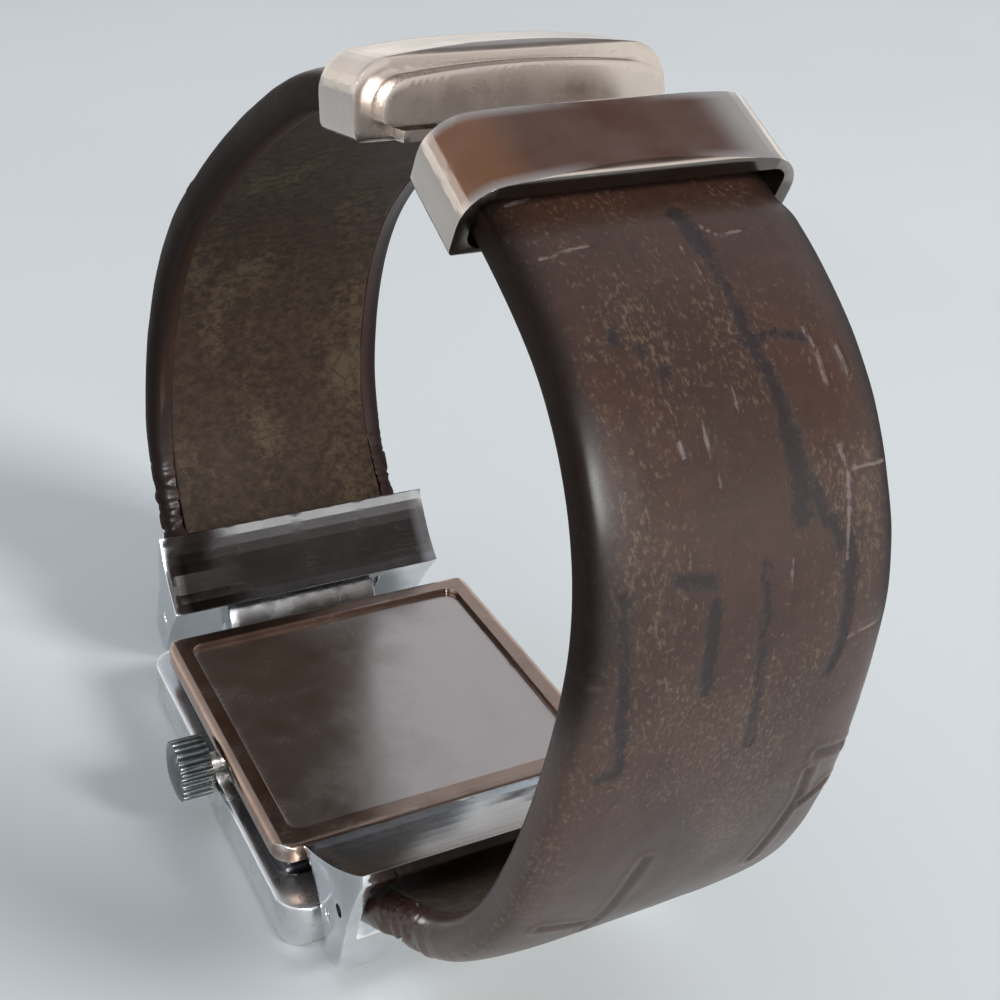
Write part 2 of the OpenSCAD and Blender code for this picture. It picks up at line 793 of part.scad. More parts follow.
// the mouth that takes the strap's end
module cap_mouth() {
    w = clasp_w + 2 * cap_gap;
    low = clasp_t / 2 + cap_gap;
    high = clasp_t / 2 + cap_gap / 4;
    along_y(-cap_hold - cut, 0) translate([0, (high - low) / 2]) round_rect(w, low + high, cap_mouth_r);
}

module magnet_block(y0) {
    translate([-magnet_w / 2, y0, -magnet_h / 2]) cube([magnet_w, magnet_l, magnet_h]);
}

// the plug on the 12 o'clock cap, and the recess for it in the other cap
module plug(y0, len, gap) {
    intersection() {
        along_y(y0, y0 + len) cap_view(plug_inset - gap);
        along_x(cap_w) translate([y0 + (len - plug_l) / 2, -cap_out])
            side_view(len + plug_l, cap_in + cap_out, cap_edge_r, cap_edge_r);
    }
}

module cap_12() {
    difference() {
        union() {
            cap_shell(-cap_hold, cap_len_12);
            plug(cap_len_12, plug_l, 0);
            translate([-0.38 * cap_w, 0, cap_in - tongue_t - run_gap])
                cube([0.76 * cap_w, cap_len_12 + tongue_l, tongue_t]);
        }
        cap_mouth();
        magnet_block(magnet_y_12);
    }
}

module cap_6() {
    body = magnet_l + magnet_wall + plug_l + plug_gap;
    difference() {
        cap_shell(-cap_hold, body);
        cap_mouth();
        magnet_block(0);
        plug(body - plug_l - plug_gap, plug_l + plug_gap + cut, plug_gap);
    }
}

// Output: one call for each piece

bezel();
crystal();
crystal_gasket();
dial();
hour_markers();
case_middle();
back_frame();
back_gasket();
case_back();
movement_ring();
main_plate();
train_bridge();
circuit_board();
coil();
stator();
battery();
battery_clamp();
movement_screws();
crown_tube();
stem();
crown();
crown_gasket();
hour_hand();
minute_hand();
hour_wheel();
cannon_pinion();
minute_wheel();
color("silver") link(link_tilt_12, link_reach_12, link_back_12);  // link_12
link_pin(link_tilt_12);  // link_pin_12
color("saddlebrown") at_link(link_tilt_12) leather(bend_shares_12, strap_len_12);  // strap_leather_12
color("olive") at_link(link_tilt_12) lining(bend_shares_12, strap_len_12);  // strap_lining_12
color("lightgray") at_link(link_tilt_12) at_strap_end(bend_shares_12, strap_len_12) cap_12();  // clasp_cap_12
color("dimgray") at_link(link_tilt_12) at_strap_end(bend_shares_12, strap_len_12) magnet_block(magnet_y_12);  // clasp_magnet_12
color("silver") mirror([0, 1, 0]) link(link_tilt_6, link_reach_6, link_back_6);  // link_6
mirror([0, 1, 0]) link_pin(link_tilt_6);  // link_pin_6
color("saddlebrown") mirror([0, 1, 0]) at_link(link_tilt_6) leather(bend_shares_6, strap_len_6);  // strap_leather_6
color("olive") mirror([0, 1, 0]) at_link(link_tilt_6) lining(bend_shares_6, strap_len_6);  // strap_lining_6
color("lightgray") mirror([0, 1, 0])  // clasp_cap_6
    at_link(link_tilt_6) at_strap_end(bend_shares_6, strap_len_6) cap_6();
color("dimgray") mirror([0, 1, 0])  // clasp_magnet_6
    at_link(link_tilt_6) at_strap_end(bend_shares_6, strap_len_6) magnet_block(0);
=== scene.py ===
"""Square wristwatch lying dial down, with its strap halves standing in an open loop."""

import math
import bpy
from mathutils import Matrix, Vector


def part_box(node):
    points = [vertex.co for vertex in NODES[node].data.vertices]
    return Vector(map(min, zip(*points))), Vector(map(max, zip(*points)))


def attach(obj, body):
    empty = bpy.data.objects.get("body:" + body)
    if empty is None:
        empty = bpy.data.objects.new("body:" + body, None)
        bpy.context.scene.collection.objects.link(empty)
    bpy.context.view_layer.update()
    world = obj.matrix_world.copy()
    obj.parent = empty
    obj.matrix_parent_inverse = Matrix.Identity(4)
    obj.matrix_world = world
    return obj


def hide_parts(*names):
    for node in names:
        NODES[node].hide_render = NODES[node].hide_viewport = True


bl_info = {
    "name": "Square Wristwatch",
    "version": (1, 0, 0),
    "blender": (4, 5, 0),
    "location": "View3D > Sidebar > Wristwatch",
    "description": "Dresses a square wristwatch's packed frame in leather, steel and a dial",
    "category": "Add Mesh",
}

import bpy
import numpy as np
from bpy.props import (
    FloatProperty,
    FloatVectorProperty,
    IntProperty,
    PointerProperty,
)
from mathutils import Matrix, Vector, noise

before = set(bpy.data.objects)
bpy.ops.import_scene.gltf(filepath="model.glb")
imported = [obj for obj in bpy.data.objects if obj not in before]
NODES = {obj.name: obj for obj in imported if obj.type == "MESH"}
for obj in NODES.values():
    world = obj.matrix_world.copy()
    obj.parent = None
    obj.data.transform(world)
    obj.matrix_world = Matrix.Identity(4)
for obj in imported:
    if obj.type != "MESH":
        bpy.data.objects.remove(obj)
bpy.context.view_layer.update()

MM = 0.001
MERGE = 2e-6

# half the strap's width at its link and what it loses on the way, in millimetres, and the share of
# its length that tapers
HALF_WIDTH, NARROWING, TAPER_SHARE = 12.1, 2.7, 0.87

# sunk pin end in the links' sides
DENT_RADIUS, DENT_DEPTH = 0.55 * MM, 0.35 * MM

# rounds of splitting of the steel faces, and the number of faces that ends it
SPLIT_ROUNDS, MOST_FACES = 6, 60000

# each strap half's body, hinge pin as (y, z), noise seed, strength of the painted reflections on its cap
# and link, roughness of its cap and how far its leather's painted shade along the sides is lifted near
# the link
HALVES = {
    "12": {"body": "strap_12", "pin": (21.1 * MM, 5.8 * MM), "seed": 4.7,
           "cap_reflection": 0.1, "cap_rough": (0.20, 0.32), "link_reflection": 0.9, "side_shade_lift": 0.0},
    "6": {"body": "strap_6", "pin": (-21.1 * MM, 5.8 * MM), "seed": 1.3,
          "cap_reflection": 1.0, "cap_rough": (0.15, 0.28), "link_reflection": 0.8, "side_shade_lift": 0.22},
}

# marks on the outer leather, as paths of (across, along) in millimetres, each streak with its width
STREAKS = {
    "6": (
        (0.92, ((1.3, 72.4), (1.5, 71.0), (1.7, 69.5))),
        (0.31, ((1.7, 69.3), (1.8, 67.2), (1.9, 65.9))),
        (0.61, ((1.9, 65.9), (2.0, 65.4), (1.8, 64.2), (2.2, 63.2))),
        (0.31, ((1.9, 64.1), (3.6, 64.1), (5.3, 63.6))),
        (0.68, ((2.2, 62.6), (2.5, 61.9), (2.7, 60.6), (2.7, 59.3))),
        (1.15, ((2.8, 58.7), (2.9, 57.8), (3.0, 56.1), (2.9, 54.3))),
        (0.55, ((3.8, 56.2), (4.3, 53.9), (5.0, 53.6), (5.4, 52.3))),
        (0.49, ((-7.8, 52.1), (-7.8, 49.7), (-7.7, 46.6), (-7.4, 43.1), (-7.1, 40.9), (-8.3, 40.5))),
        (0.68, ((-4.8, 52.4), (-2.8, 52.0))),
        (0.68, ((-2.6, 50.6), (-2.7, 48.3), (-2.6, 45.4))),
        (0.36, ((0.5, 52.3), (0.7, 50.1), (0.6, 48.0), (1.0, 44.2), (1.2, 42.1), (1.4, 40.1))),
        (0.73, ((6.1, 52.4), (6.2, 49.4), (6.2, 47.3))),
        (0.55, ((6.2, 47.3), (6.2, 45.6), (5.7, 44.1))),
        (0.49, ((-5.7, 65.4), (-5.7, 65.1))),
        (0.36, ((-4.5, 64.3), (-4.5, 64.1))),
        (0.49, ((-3.6, 63.0), (-3.6, 62.8))),
    ),
    "12": (
        (0.55, ((-3.0, 18.0), (-2.4, 24.0), (-2.8, 31.0))),
        (0.73, ((4.2, 30.0), (4.8, 37.0), (4.0, 44.0))),
        (0.49, ((0.5, 50.0), (1.4, 57.0), (0.8, 66.0))),
        (0.61, ((-5.5, 58.0), (-5.0, 64.0))),
    ),
}
SCRATCHES = {
    "6": (
        ((-2.4, 60.3), (-2.2, 58.7), (-2.0, 56.7)),
        ((-0.3, 62.3), (0.2, 59.9)),
        ((-3.9, 59.4), (-3.8, 58.4)),
        ((-7.7, 70.5), (-6.0, 70.7), (-4.6, 70.8)),
        ((5.7, 57.7), (6.1, 56.1), (6.0, 53.8), (5.9, 51.4)),
        ((6.2, 56.3), (9.0, 56.2)),
        ((5.4, 64.1), (5.8, 62.9), (5.8, 60.8)),
        ((7.2, 62.9), (7.5, 61.2)),
        ((0.4, 70.0), (1.0, 67.4)),
        ((2.1, 71.2), (3.0, 70.3), (4.5, 70.5)),
        ((6.8, 46.3), (9.2, 46.6)),
        ((2.2, 52.1), (2.1, 49.6)),
        ((-7.8, 74.7), (-6.4, 74.8)),
    ),
    "12": (
        ((2.0, 22.0), (2.6, 25.0)),
        ((-6.0, 40.0), (-3.5, 40.8)),
        ((6.0, 60.0), (6.3, 64.0)),
    ),
}
CREASES = {
    "6": (
        ((7.2, 35.4), (7.5, 32.8), (6.8, 25.4)),
        ((9.8, 33.0), (8.0, 31.7)),
        ((-3.0, 31.3), (-3.5, 28.0), (-4.2, 22.0)),
        ((-8.4, 25.4), (-3.9, 23.5)),
        ((7.4, 37.0), (9.8, 36.4)),
        ((-11.2, 47.5), (-9.0, 47.3)),
    ),
    "12": (
        ((-10.0, 20.0), (-6.5, 21.0)),
        ((10.0, 33.0), (7.0, 32.2)),
        ((-9.5, 49.0), (-7.2, 48.6)),
    ),
}


# Settings


def tint(name, description, default):
    """A colour setting."""
    return FloatVectorProperty(
        name=name, description=description, default=default, min=0.0, max=1.0, subtype="COLOR")


def span(name, description, default):
    """A length setting."""
    return FloatProperty(
        name=name, description=description, default=default, min=0.0, unit="LENGTH", subtype="DISTANCE")


def swing(name, description, default):
    """An angle setting."""
    return FloatProperty(
        name=name, description=description, default=default, unit="ROTATION", subtype="ANGLE")


def watts(name, description, default):
    """A lamp power setting."""
    return FloatProperty(name=name, description=description, default=default, min=0.0, unit="POWER")


class WatchStageSettings(bpy.types.PropertyGroup):
    """Camera, floor and lamps"""

    lens: FloatProperty(
        name="Lens", description="Focal length of the camera in millimetres on a 36 mm sensor",
        default=54.0, min=20.0, max=200.0, unit="CAMERA")
    distance: span("Distance", "From the camera to the point it looks at", 0.128538)
    turn: swing("Turn", "Camera's turn about the upright axis", 0.507381)
    tilt: swing("Tilt", "How far the camera looks down", 0.519103)
    roll: swing("Roll", "Camera's roll about its own line of sight", 0.067263)
    target: FloatVectorProperty(
        name="Target", description="Point that the camera looks at",
        default=(0.0106946, 0.0001081, 0.025), unit="LENGTH", subtype="XYZ")
    floor_color: tint("Floor colour", "Pale surface under the watch", (0.75, 0.79, 0.80))
    key_power: watts("Key lamp", "Power of the large soft lamp before the watch", 10.5)
    side_power: watts("Side lamp", "Power of the soft lamp at the left", 0.25)
    low_power: watts("Low lamp", "Power of the low soft lamp that puts the glow on the near strap", 5.0)
    low_light: tint("Low light", "Colour of the room near the horizon", (1.0, 0.98, 0.95))
    high_light: tint("High light", "Colour of the ceiling", (0.42, 0.45, 0.50))
    dark_room: tint("Dark room", "Colour of the room above and behind the camera", (0.10, 0.085, 0.08))
    sky_level: FloatProperty(
        name="Room light", description="Strength of the room's even light",
        default=1.25, min=0.0, max=3.0, subtype="FACTOR")


class WatchLeatherSettings(bpy.types.PropertyGroup):
    """Strap leather and its lining"""

    leather_color: tint("Leather", "Main brown of the outer leather", (0.057, 0.027, 0.0185))
    # leather_dark is also the base of the painted shade along the sides and in the creases
    leather_dark: tint("Dark leather", "Brown of the edges and dark patches", (0.026, 0.014, 0.011))
    fleck_color: tint("Flecks", "Rubbed golden flecks", (0.165, 0.115, 0.072))
    streak_color: tint("Streaks", "Near-black streaks in the print", (0.014, 0.009, 0.011))
    scratch_color: tint("Scratches", "Pale scratched lines", (0.20, 0.15, 0.135))
    lining_color: tint("Lining", "Brown of the lining", (0.064, 0.041, 0.028))
    patch_color: tint("Worn patches", "Olive patches where the lining is worn", (0.098, 0.072, 0.044))
    puff: span("Unevenness", "How much the padding swells and sinks", 0.07 * MM)
    wrinkle: span("Wrinkles", "Depth of the wrinkles beside the links", 0.34 * MM)
    crease: span("Creases", "Depth of the pressed crease lines", 0.16 * MM)
    pinch: span("Pinch", "How far the leather is drawn in where a cap takes it", 0.42 * MM)
    detail: IntProperty(
        name="Detail", description="Subdivision of the leather's mesh",
        default=3, min=1, max=3, subtype="UNSIGNED")


class WatchMetalSettings(bpy.types.PropertyGroup):
    """Steel of the case, links and clasp"""

    bezel: tint("Bezel steel", "Bright satin steel of the bezel", (0.78, 0.79, 0.79))
    silver_dull: tint("Dull steel", "Steel where it has tarnished", (0.33, 0.29, 0.27))
    cap: tint("Cap steel", "Warm satin steel of the clasp caps", (0.56, 0.50, 0.45))
    cap_dull: tint("Dull cap steel", "Clasp cap steel where it has tarnished", (0.40, 0.34, 0.31))
    # painted reflection: warmer end of the tint that stands in for what the near cap mirrors
    orange_reflection: tint("Orange film", "Warmer film at the near cap's left end", (0.30, 0.135, 0.070))
    link: tint("Link steel", "Cool polished steel of the end links", (0.70, 0.72, 0.735))
    link_dull: tint("Dull link steel", "End link steel where it has tarnished", (0.36, 0.35, 0.35))
    # painted reflections on the links' wrist plates: blue-grey on the near link, dark brown on the far
    # one
    cool_reflection: tint("Cool polish", "Blue-grey of the near link's wrist plate", (0.30, 0.37, 0.43))
    dark_reflection: tint("Tarnish", "Dark brown tarnish on the far link's wrist plate", (0.060, 0.044, 0.033))
    # painted reflection: brown tint that stands in for what the caps' polished outer faces mirror
    copper_reflection: tint("Copper film", "Brown film on the caps' outer faces", (0.150, 0.068, 0.043))
    waist: tint("Waist", "Dark polished waist of the case", (0.055, 0.055, 0.06))
    back_plate: tint("Back plate", "Warm satin steel of the case back", (0.58, 0.51, 0.47))
    crown: tint("Crown", "Steel of the crown", (0.13, 0.145, 0.145))
    dent_y: span("Pin end", "From the case's middle to the links' sunk pin ends", 23.3 * MM)
    dent_z: span("Pin end height", "Height of the sunk pin end above the floor", 8.2 * MM)
    face_step: span("Face step", "Longest edge left in a steel face", 0.9 * MM)


class WatchDialSettings(bpy.types.PropertyGroup):
    """Dial side and movement"""

    dial: tint("Dial", "Cream lacquer of the dial", (0.80, 0.77, 0.70))
    hands: tint("Hands", "Dark lacquer of the hands", (0.03, 0.035, 0.045))
    brass: tint("Brass", "Movement plates and wheels", (0.74, 0.56, 0.27))


def settings(kind):
    """The scene's settings of one kind."""
    return getattr(bpy.context.scene, "watch_" + kind)


# Modelling


def set_fields(thing, **values):
    for key, value in values.items():
        setattr(thing, key, value)


def deselect_all():
    if bpy.context.object and bpy.context.object.mode != "OBJECT":
        bpy.ops.object.mode_set(mode="OBJECT")
    bpy.ops.object.select_all(action="DESELECT")


def work_on(piece):
    """Selects a piece alone and makes it the active one."""
    deselect_all()
    piece.select_set(True)
    bpy.context.view_layer.objects.active = piece


def edit(piece):
    """Opens a piece for editing, with all its points selected."""
    work_on(piece)
    bpy.ops.object.mode_set(mode="EDIT")
    bpy.ops.mesh.select_mode(type="VERT")
    bpy.ops.mesh.select_all(action="SELECT")


def done_editing():
    bpy.ops.object.mode_set(mode="OBJECT")


def apply_modifier(piece, kind, **values):
    work_on(piece)
    modifier = piece.modifiers.new(kind.title(), kind)
    set_fields(modifier, **values)
    bpy.ops.object.modifier_apply(modifier=modifier.name)


def copy_node(node, name):
    """A new piece with the shape of a CAD node, its loose triangles merged."""
    data = NODES[node].data.copy()
    data.materials.clear()
    piece = bpy.data.objects.new(name, data)
    bpy.context.scene.collection.objects.link(piece)
    work_on(piece)
    bpy.ops.mesh.customdata_custom_splitnormals_clear()
    edit(piece)
    bpy.ops.mesh.remove_doubles(threshold=MERGE)
    done_editing()
    return piece


def give(piece, body, node, material):
    """The piece stands for a CAD node, with its body and finish."""
    piece.data.materials.clear()
    piece.data.materials.append(material)
    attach(piece, body)
    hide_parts(node)


def finish(material, *nodes):
    """CAD nodes that keep their shape get a finish."""
    for node in nodes:
        data = NODES[node].data
        data.materials.clear()
        data.materials.append(material)


def read_points(data, field="co"):
    """A mesh's points, or their normals, as rows of three."""
    points = np.zeros(len(data.vertices) * 3, np.float32)
    data.vertices.foreach_get(field, points)
    return points.reshape(-1, 3).astype(float)


def surface(piece):
    """Points and normals of a piece."""
    return read_points(piece.data), read_points(piece.data, "normal")


def write_points(data, points):
    data.vertices.foreach_set("co", points.astype(np.float32).ravel())
    data.update()


def edge_ends(data):
    ends = np.zeros(len(data.edges) * 2, np.int32)
    data.edges.foreach_get("vertices", ends)
    return ends.reshape(-1, 2)


def store(data, name, values, kind="FLOAT"):
    """Keeps a value for each point, for the materials to read."""
    layer = data.attributes.get(name) or data.attributes.new(name, kind, "POINT")
    field = "vector" if kind == "FLOAT_VECTOR" else "value"
    layer.data.foreach_set(field, np.ascontiguousarray(values, np.float32).ravel())


def smooth_step(low, high, values):
    t = np.clip((values - low) / (high - low), 0, 1)
    return t * t * (3 - 2 * t)


def noise_at(points, scale, seed):
    """Smooth noise from -1 to 1 at points, its lumps about scale long."""
    shift = Vector((seed * 3.1, seed * 7.7, seed * 1.9))
    return np.array([noise.noise(Vector(p) / scale + shift) for p in points])


def split_long_edges(piece, longest):
    """Flat faces get points all over, so that a worn edge fades out close to it."""
    edit(piece)
    bpy.ops.mesh.quads_convert_to_tris(quad_method="BEAUTY", ngon_method="BEAUTY")
    done_editing()
    for _ in range(SPLIT_ROUNDS):
        data = piece.data
        points, ends = read_points(data), edge_ends(data)
        length = np.linalg.norm(points[ends[:, 0]] - points[ends[:, 1]], axis=1)
        long = length > longest
        if not long.any() or len(data.polygons) > MOST_FACES:
            break
        edit(piece)
        bpy.ops.mesh.select_mode(type="EDGE")
        bpy.ops.mesh.select_all(action="DESELECT")
        done_editing()
        data.edges.foreach_set("select", long)
        bpy.ops.object.mode_set(mode="EDIT")
        bpy.ops.mesh.subdivide(number_cuts=1, smoothness=0)
        bpy.ops.mesh.select_all(action="SELECT")
        bpy.ops.mesh.quads_convert_to_tris(quad_method="BEAUTY", ngon_method="BEAUTY")
        done_editing()


def mark_wear(piece):
    """Stores how sharply the surface turns outwards, 0 on flats, as attribute "wear"."""
    points, normals = surface(piece)
    ends = edge_ends(piece.data)
    along = points[ends[:, 1]] - points[ends[:, 0]]
    length = np.maximum(np.linalg.norm(along, axis=1), 1e-9)
    along /= length[:, None]
    turn, count = np.zeros(len(points)), np.zeros(len(points))
    for this, sign in ((0, -1), (1, 1)):
        np.add.at(turn, ends[:, this], sign * np.einsum("ij,ij->i", along, normals[ends[:, this]]))
        np.add.at(count, ends[:, this], 1)
    turn /= np.maximum(count, 1)
    # two rounds of smoothing spread it to the neighbours
    for _ in range(2):
        spread = np.zeros(len(points))
        np.add.at(spread, ends[:, 0], turn[ends[:, 1]])
        np.add.at(spread, ends[:, 1], turn[ends[:, 0]])
        turn = 0.5 * turn + 0.5 * spread / np.maximum(count, 1)
    store(piece.data, "wear", np.clip(turn * 4, -1, 1))


def smooth_and_mark(piece):
    """Smooth shading up to 40 degrees, and the wear attribute."""
    work_on(piece)
    bpy.ops.object.shade_smooth_by_angle(angle=math.radians(40))
    mark_wear(piece)


def steel_piece(node, name, width, angle=32):
    """A steel CAD node with worn edges, rounded to a width where they turn by more than an angle."""
    piece = copy_node(node, name)
    edit(piece)
    bpy.ops.mesh.dissolve_limited(angle_limit=math.radians(0.8))
    done_editing()
    apply_modifier(piece, "BEVEL", width=width, segments=3, limit_method="ANGLE",
                   angle_limit=math.radians(angle), use_clamp_overlap=True)
    split_long_edges(piece, settings("metal").face_step)
    smooth_and_mark(piece)
    return piece


def dent(piece, place):
    """Sinks a round dent into both sides of a piece, at a place and its mirror image."""
    for side in (-1, 1):
        deselect_all()
        bpy.ops.mesh.primitive_cylinder_add(
            vertices=28, radius=DENT_RADIUS, depth=2 * DENT_DEPTH,
            location=(side * place[0], place[1], place[2]), rotation=(0, math.pi / 2, 0))
        cutter = bpy.context.active_object
        apply_modifier(piece, "BOOLEAN", operation="DIFFERENCE", object=cutter, solver="EXACT")
        work_on(cutter)
        bpy.ops.object.delete()
    smooth_and_mark(piece)


# Strap


class StrapLine:
    """The outer middle line of a strap half, from its link to its clasp."""

    def __init__(self, half):
        points = read_points(NODES["strap_leather_" + half].data)
        crest = np.unique(points[np.abs(points[:, 0]) < 1e-5][:, 1:].round(7), axis=0)
        # from the hinge pin on, each next point is the nearest of those that are left
        left = list(crest)
        line = [np.array(HALVES[half]["pin"])]
        while left:
            line.append(left.pop(int(np.argmin([np.linalg.norm(p - line[-1]) for p in left]))))
        self.points = np.array(line[1:])
        self.step = np.diff(self.points, axis=0)
        self.step_length = np.linalg.norm(self.step, axis=1)
        self.run = np.r_[0, np.cumsum(self.step_length)]
        self.length = float(self.run[-1])
        tangent = self.step / self.step_length[:, None]
        self.outward = np.stack([tangent[:, 1], -tangent[:, 0]], 1)
        middle = self.points.mean(0)
        if np.einsum("ij,ij->i", self.outward, self.points[:-1] - middle).sum() < 0:
            self.outward = -self.outward

    def place(self, points):
        """Across, along and depth below the outer line of each point, in metres."""
        yz = points[:, 1:]
        best = np.full(len(points), 1e9)
        along = np.zeros(len(points))
        depth = np.zeros(len(points))
        for i, (start, step) in enumerate(zip(self.points[:-1], self.step)):
            # the first and the last step reach on past the line's ends
            low = -9 if i == 0 else 0
            high = 9 if i == len(self.step) - 1 else 1
            t = np.clip(((yz - start) @ step) / self.step_length[i] ** 2, low, high)
            gap = yz - start - t[:, None] * step
            far = np.linalg.norm(gap, axis=1)
            closer = far < best
            best[closer] = far[closer]
            along[closer] = (self.run[i] + t * self.step_length[i])[closer]
            depth[closer] = -(gap @ self.outward[i])[closer]
        return np.stack([points[:, 0], along, depth], 1)

    def facing(self, normals, place):
        """How far each normal points outward from the line at its point's place, from -1 to 1."""
        i = np.clip(np.searchsorted(self.run, place[:, 1]) - 1, 0, len(self.outward) - 1)
        return np.einsum("ij,ij->i", normals[:, 1:], self.outward[i])


def near_paths(across, along, paths, furthest=6.0):
    """Distance in millimetres of each point to the edge of the nearest of some (width, path) pairs."""
    near = np.full(len(across), furthest)
    for width, path in paths:
        for (x0, s0), (x1, s1) in zip(path[:-1], path[1:]):
            dx, ds = x1 - x0, s1 - s0
            t = np.clip(((across - x0) * dx + (along - s0) * ds) / (dx * dx + ds * ds), 0, 1)
            near = np.minimum(near, np.hypot(across - x0 - t * dx, along - s0 - t * ds) - width / 2)
    return near


def cut_across(piece, places):
    """Adds edge loops along the strap at some places across it."""
    for x in places:
        edit(piece)
        bpy.ops.mesh.bisect(plane_co=(x, 0, 0), plane_no=(1, 0, 0), use_fill=False)
        done_editing()


def crease_sharp(piece, degrees, value):
    """Edges that turn sharply keep part of their sharpness through subdivision."""
    edit(piece)
    bpy.ops.mesh.select_mode(type="EDGE")
    bpy.ops.mesh.select_all(action="DESELECT")
    bpy.ops.mesh.edges_select_sharp(sharpness=math.radians(degrees))
    done_editing()
    data = piece.data
    picked = np.zeros(len(data.edges), bool)
    data.edges.foreach_get("select", picked)
    crease = data.attributes.new("crease_edge", "FLOAT", "EDGE")
    crease.data.foreach_set("value", picked.astype(np.float32) * value)


def soft_piece(node, name, cuts, sharp, kept, levels):
    """A soft CAD node as quads, cut along some lines and subdivided, with its points and normals."""
    piece = copy_node(node, name)
    edit(piece)
    bpy.ops.mesh.tris_convert_to_quads(face_threshold=math.radians(60), shape_threshold=math.radians(120))
    done_editing()
    cut_across(piece, [x * MM for x in cuts])
    crease_sharp(piece, sharp, kept)
    apply_modifier(piece, "SUBSURF", levels=levels, render_levels=levels)
    work_on(piece)
    bpy.ops.object.shade_smooth()
    return piece, *surface(piece)


def leather_half(half):
    """One padded strap half: its swept form, subdivided and then pressed, creased and wrinkled."""
    leather = settings("leather")
    line = StrapLine(half)
    seed = HALVES[half]["seed"]
    piece, points, normals = soft_piece(
        "strap_leather_" + half, "StrapLeather" + half, (-6.4, -3.2, 3.2, 6.4), 50, 0.55, leather.detail)
    place = line.place(points)
    across, along = place[:, 0] / MM, place[:, 1] / MM
    outer = smooth_step(0.05, 0.5, line.facing(normals, place))
    left = line.length / MM - along
    streak = near_paths(across, along, STREAKS[half])
    scratch = near_paths(across, along, [(0, path) for path in SCRATCHES[half]])
    crease = near_paths(across, along, [(0, path) for path in CREASES[half]])

    # the padding swells and sinks
    flat = np.c_[across, along, place[:, 2] / MM]
    swell = noise_at(flat, 7.0, seed) + 0.45 * noise_at(flat, 2.6, seed + 2)
    press = leather.puff * swell * (0.35 + 0.65 * outer)
    # wrinkles lie across the strap beside its link, with thin valleys between broad folds
    folds = noise_at(flat * (0.22, 1.0, 0.4), 1.15, seed + 5)
    beside_link = smooth_step(17, 6, along) * smooth_step(2.5, 6, along)
    valley = np.exp(-(folds / 0.13) ** 2) * beside_link
    # the wrinkle valleys join the crease lines, which the leather material darkens as painted shade
    crease = np.minimum(crease, 0.5 / np.maximum(valley, 0.05) - 0.45)
    press -= leather.wrinkle * valley
    press -= leather.wrinkle * beside_link * (0.5 + folds) * smooth_step(0.0, 0.4, np.abs(folds))
    # creases are grooves with a low ridge at each side, streaks and scratches shallow grooves
    press -= outer * leather.crease * np.exp(-(crease / 0.26) ** 2)
    press += outer * 0.35 * leather.crease * np.exp(-((crease - 0.62) / 0.28) ** 2)
    press -= outer * 0.05 * MM * smooth_step(0.25, -0.2, streak)
    press -= outer * 0.04 * MM * smooth_step(0.3, 0.05, scratch)
    # the ends stay in their sockets, and the cap draws the leather in
    press *= smooth_step(0.6, 1.8, along) * smooth_step(0.4, 2.6, left)
    press -= leather.pinch * outer * smooth_step(5.2, 2.4, left)
    write_points(piece.data, points + normals * press[:, None])

    tapered = smooth_step(0, line.length / MM * TAPER_SHARE, along)
    side = np.abs(across) / (HALF_WIDTH - NARROWING * tapered)
    # the painted shade along the sides is lifted towards the link on the near half
    side -= HALVES[half]["side_shade_lift"] * smooth_step(50, 36, along)
    store(piece.data, "place", flat, "FLOAT_VECTOR")
    marks = {"outer": outer, "streak": streak, "scratch": scratch, "crease": crease, "side": side}
    for name, values in marks.items():
        store(piece.data, name, values)
    return piece


def lining_half(half):
    """The thin lining in the strap's inner seat, a little rippled and worn."""
    line = StrapLine(half)
    seed = HALVES[half]["seed"] + 11
    piece, points, normals = soft_piece(
        "strap_lining_" + half, "StrapLining" + half, np.linspace(-8.4, 8.4, 13), 40, 0.7, 2)
    place = line.place(points)
    flat = place / MM
    inner = smooth_step(0.2, 0.7, -line.facing(normals, place))
    ripple = noise_at(flat * (1, 0.7, 0.2), 3.4, seed)
    ripple += 0.5 * noise_at(flat * (0.5, 1.6, 0.2), 1.3, seed + 3)
    write_points(piece.data, points + normals * (0.06 * MM * inner * ripple)[:, None])
    store(piece.data, "place", flat, "FLOAT_VECTOR")
    return piece, line


def lining_size(piece, line):
    """Cut size and area of the lining before it was glued in."""
    data = NODES[piece.name.replace("StrapLining", "strap_lining_")].data
    points = read_points(data)
    widest = 2 * float(np.abs(points[:, 0]).max())
    area = 0.0
    place = line.place(points)
    for low, high in zip(line.run[:-1], line.run[1:]):
        near = (place[:, 1] > low - 1e-4) & (place[:, 1] < high + 1e-4)
        if near.any():
            area += (high - low) * 2 * float(np.abs(points[near, 0]).max())
    return (widest, line.length), area


# Materials


def feed(tree, node, inputs):
    """Gives a node's inputs their constants or links."""
    for key, value in inputs.items():
        if isinstance(value, bpy.types.NodeSocket):
            tree.links.new(value, node.inputs[key])
        else:
            node.inputs[key].default_value = value
    return node


def add(tree, kind, inputs=None, **fields):
    """A new node, with its fields and inputs."""
    made = tree.nodes.new(kind)
    set_fields(made, **fields)
    return feed(tree, made, inputs or {})


def math_node(tree, operation, a, b=0.0, clamp=False):
    return add(tree, "ShaderNodeMath", {0: a, 1: b}, operation=operation, use_clamp=clamp).outputs[0]


def times(tree, a, b):
    return math_node(tree, "MULTIPLY", a, b)


def plus(tree, a, b):
    return math_node(tree, "ADD", a, b)


def minus(tree, a, b):
    return math_node(tree, "SUBTRACT", a, b)


def both_ways(tree, noise_value, reach):
    """Noise of 0 to 1 turned to run from minus to plus half the reach."""
    return times(tree, minus(tree, noise_value, 0.5), reach)


def scaled(color, factor):
    return [factor * c for c in color]


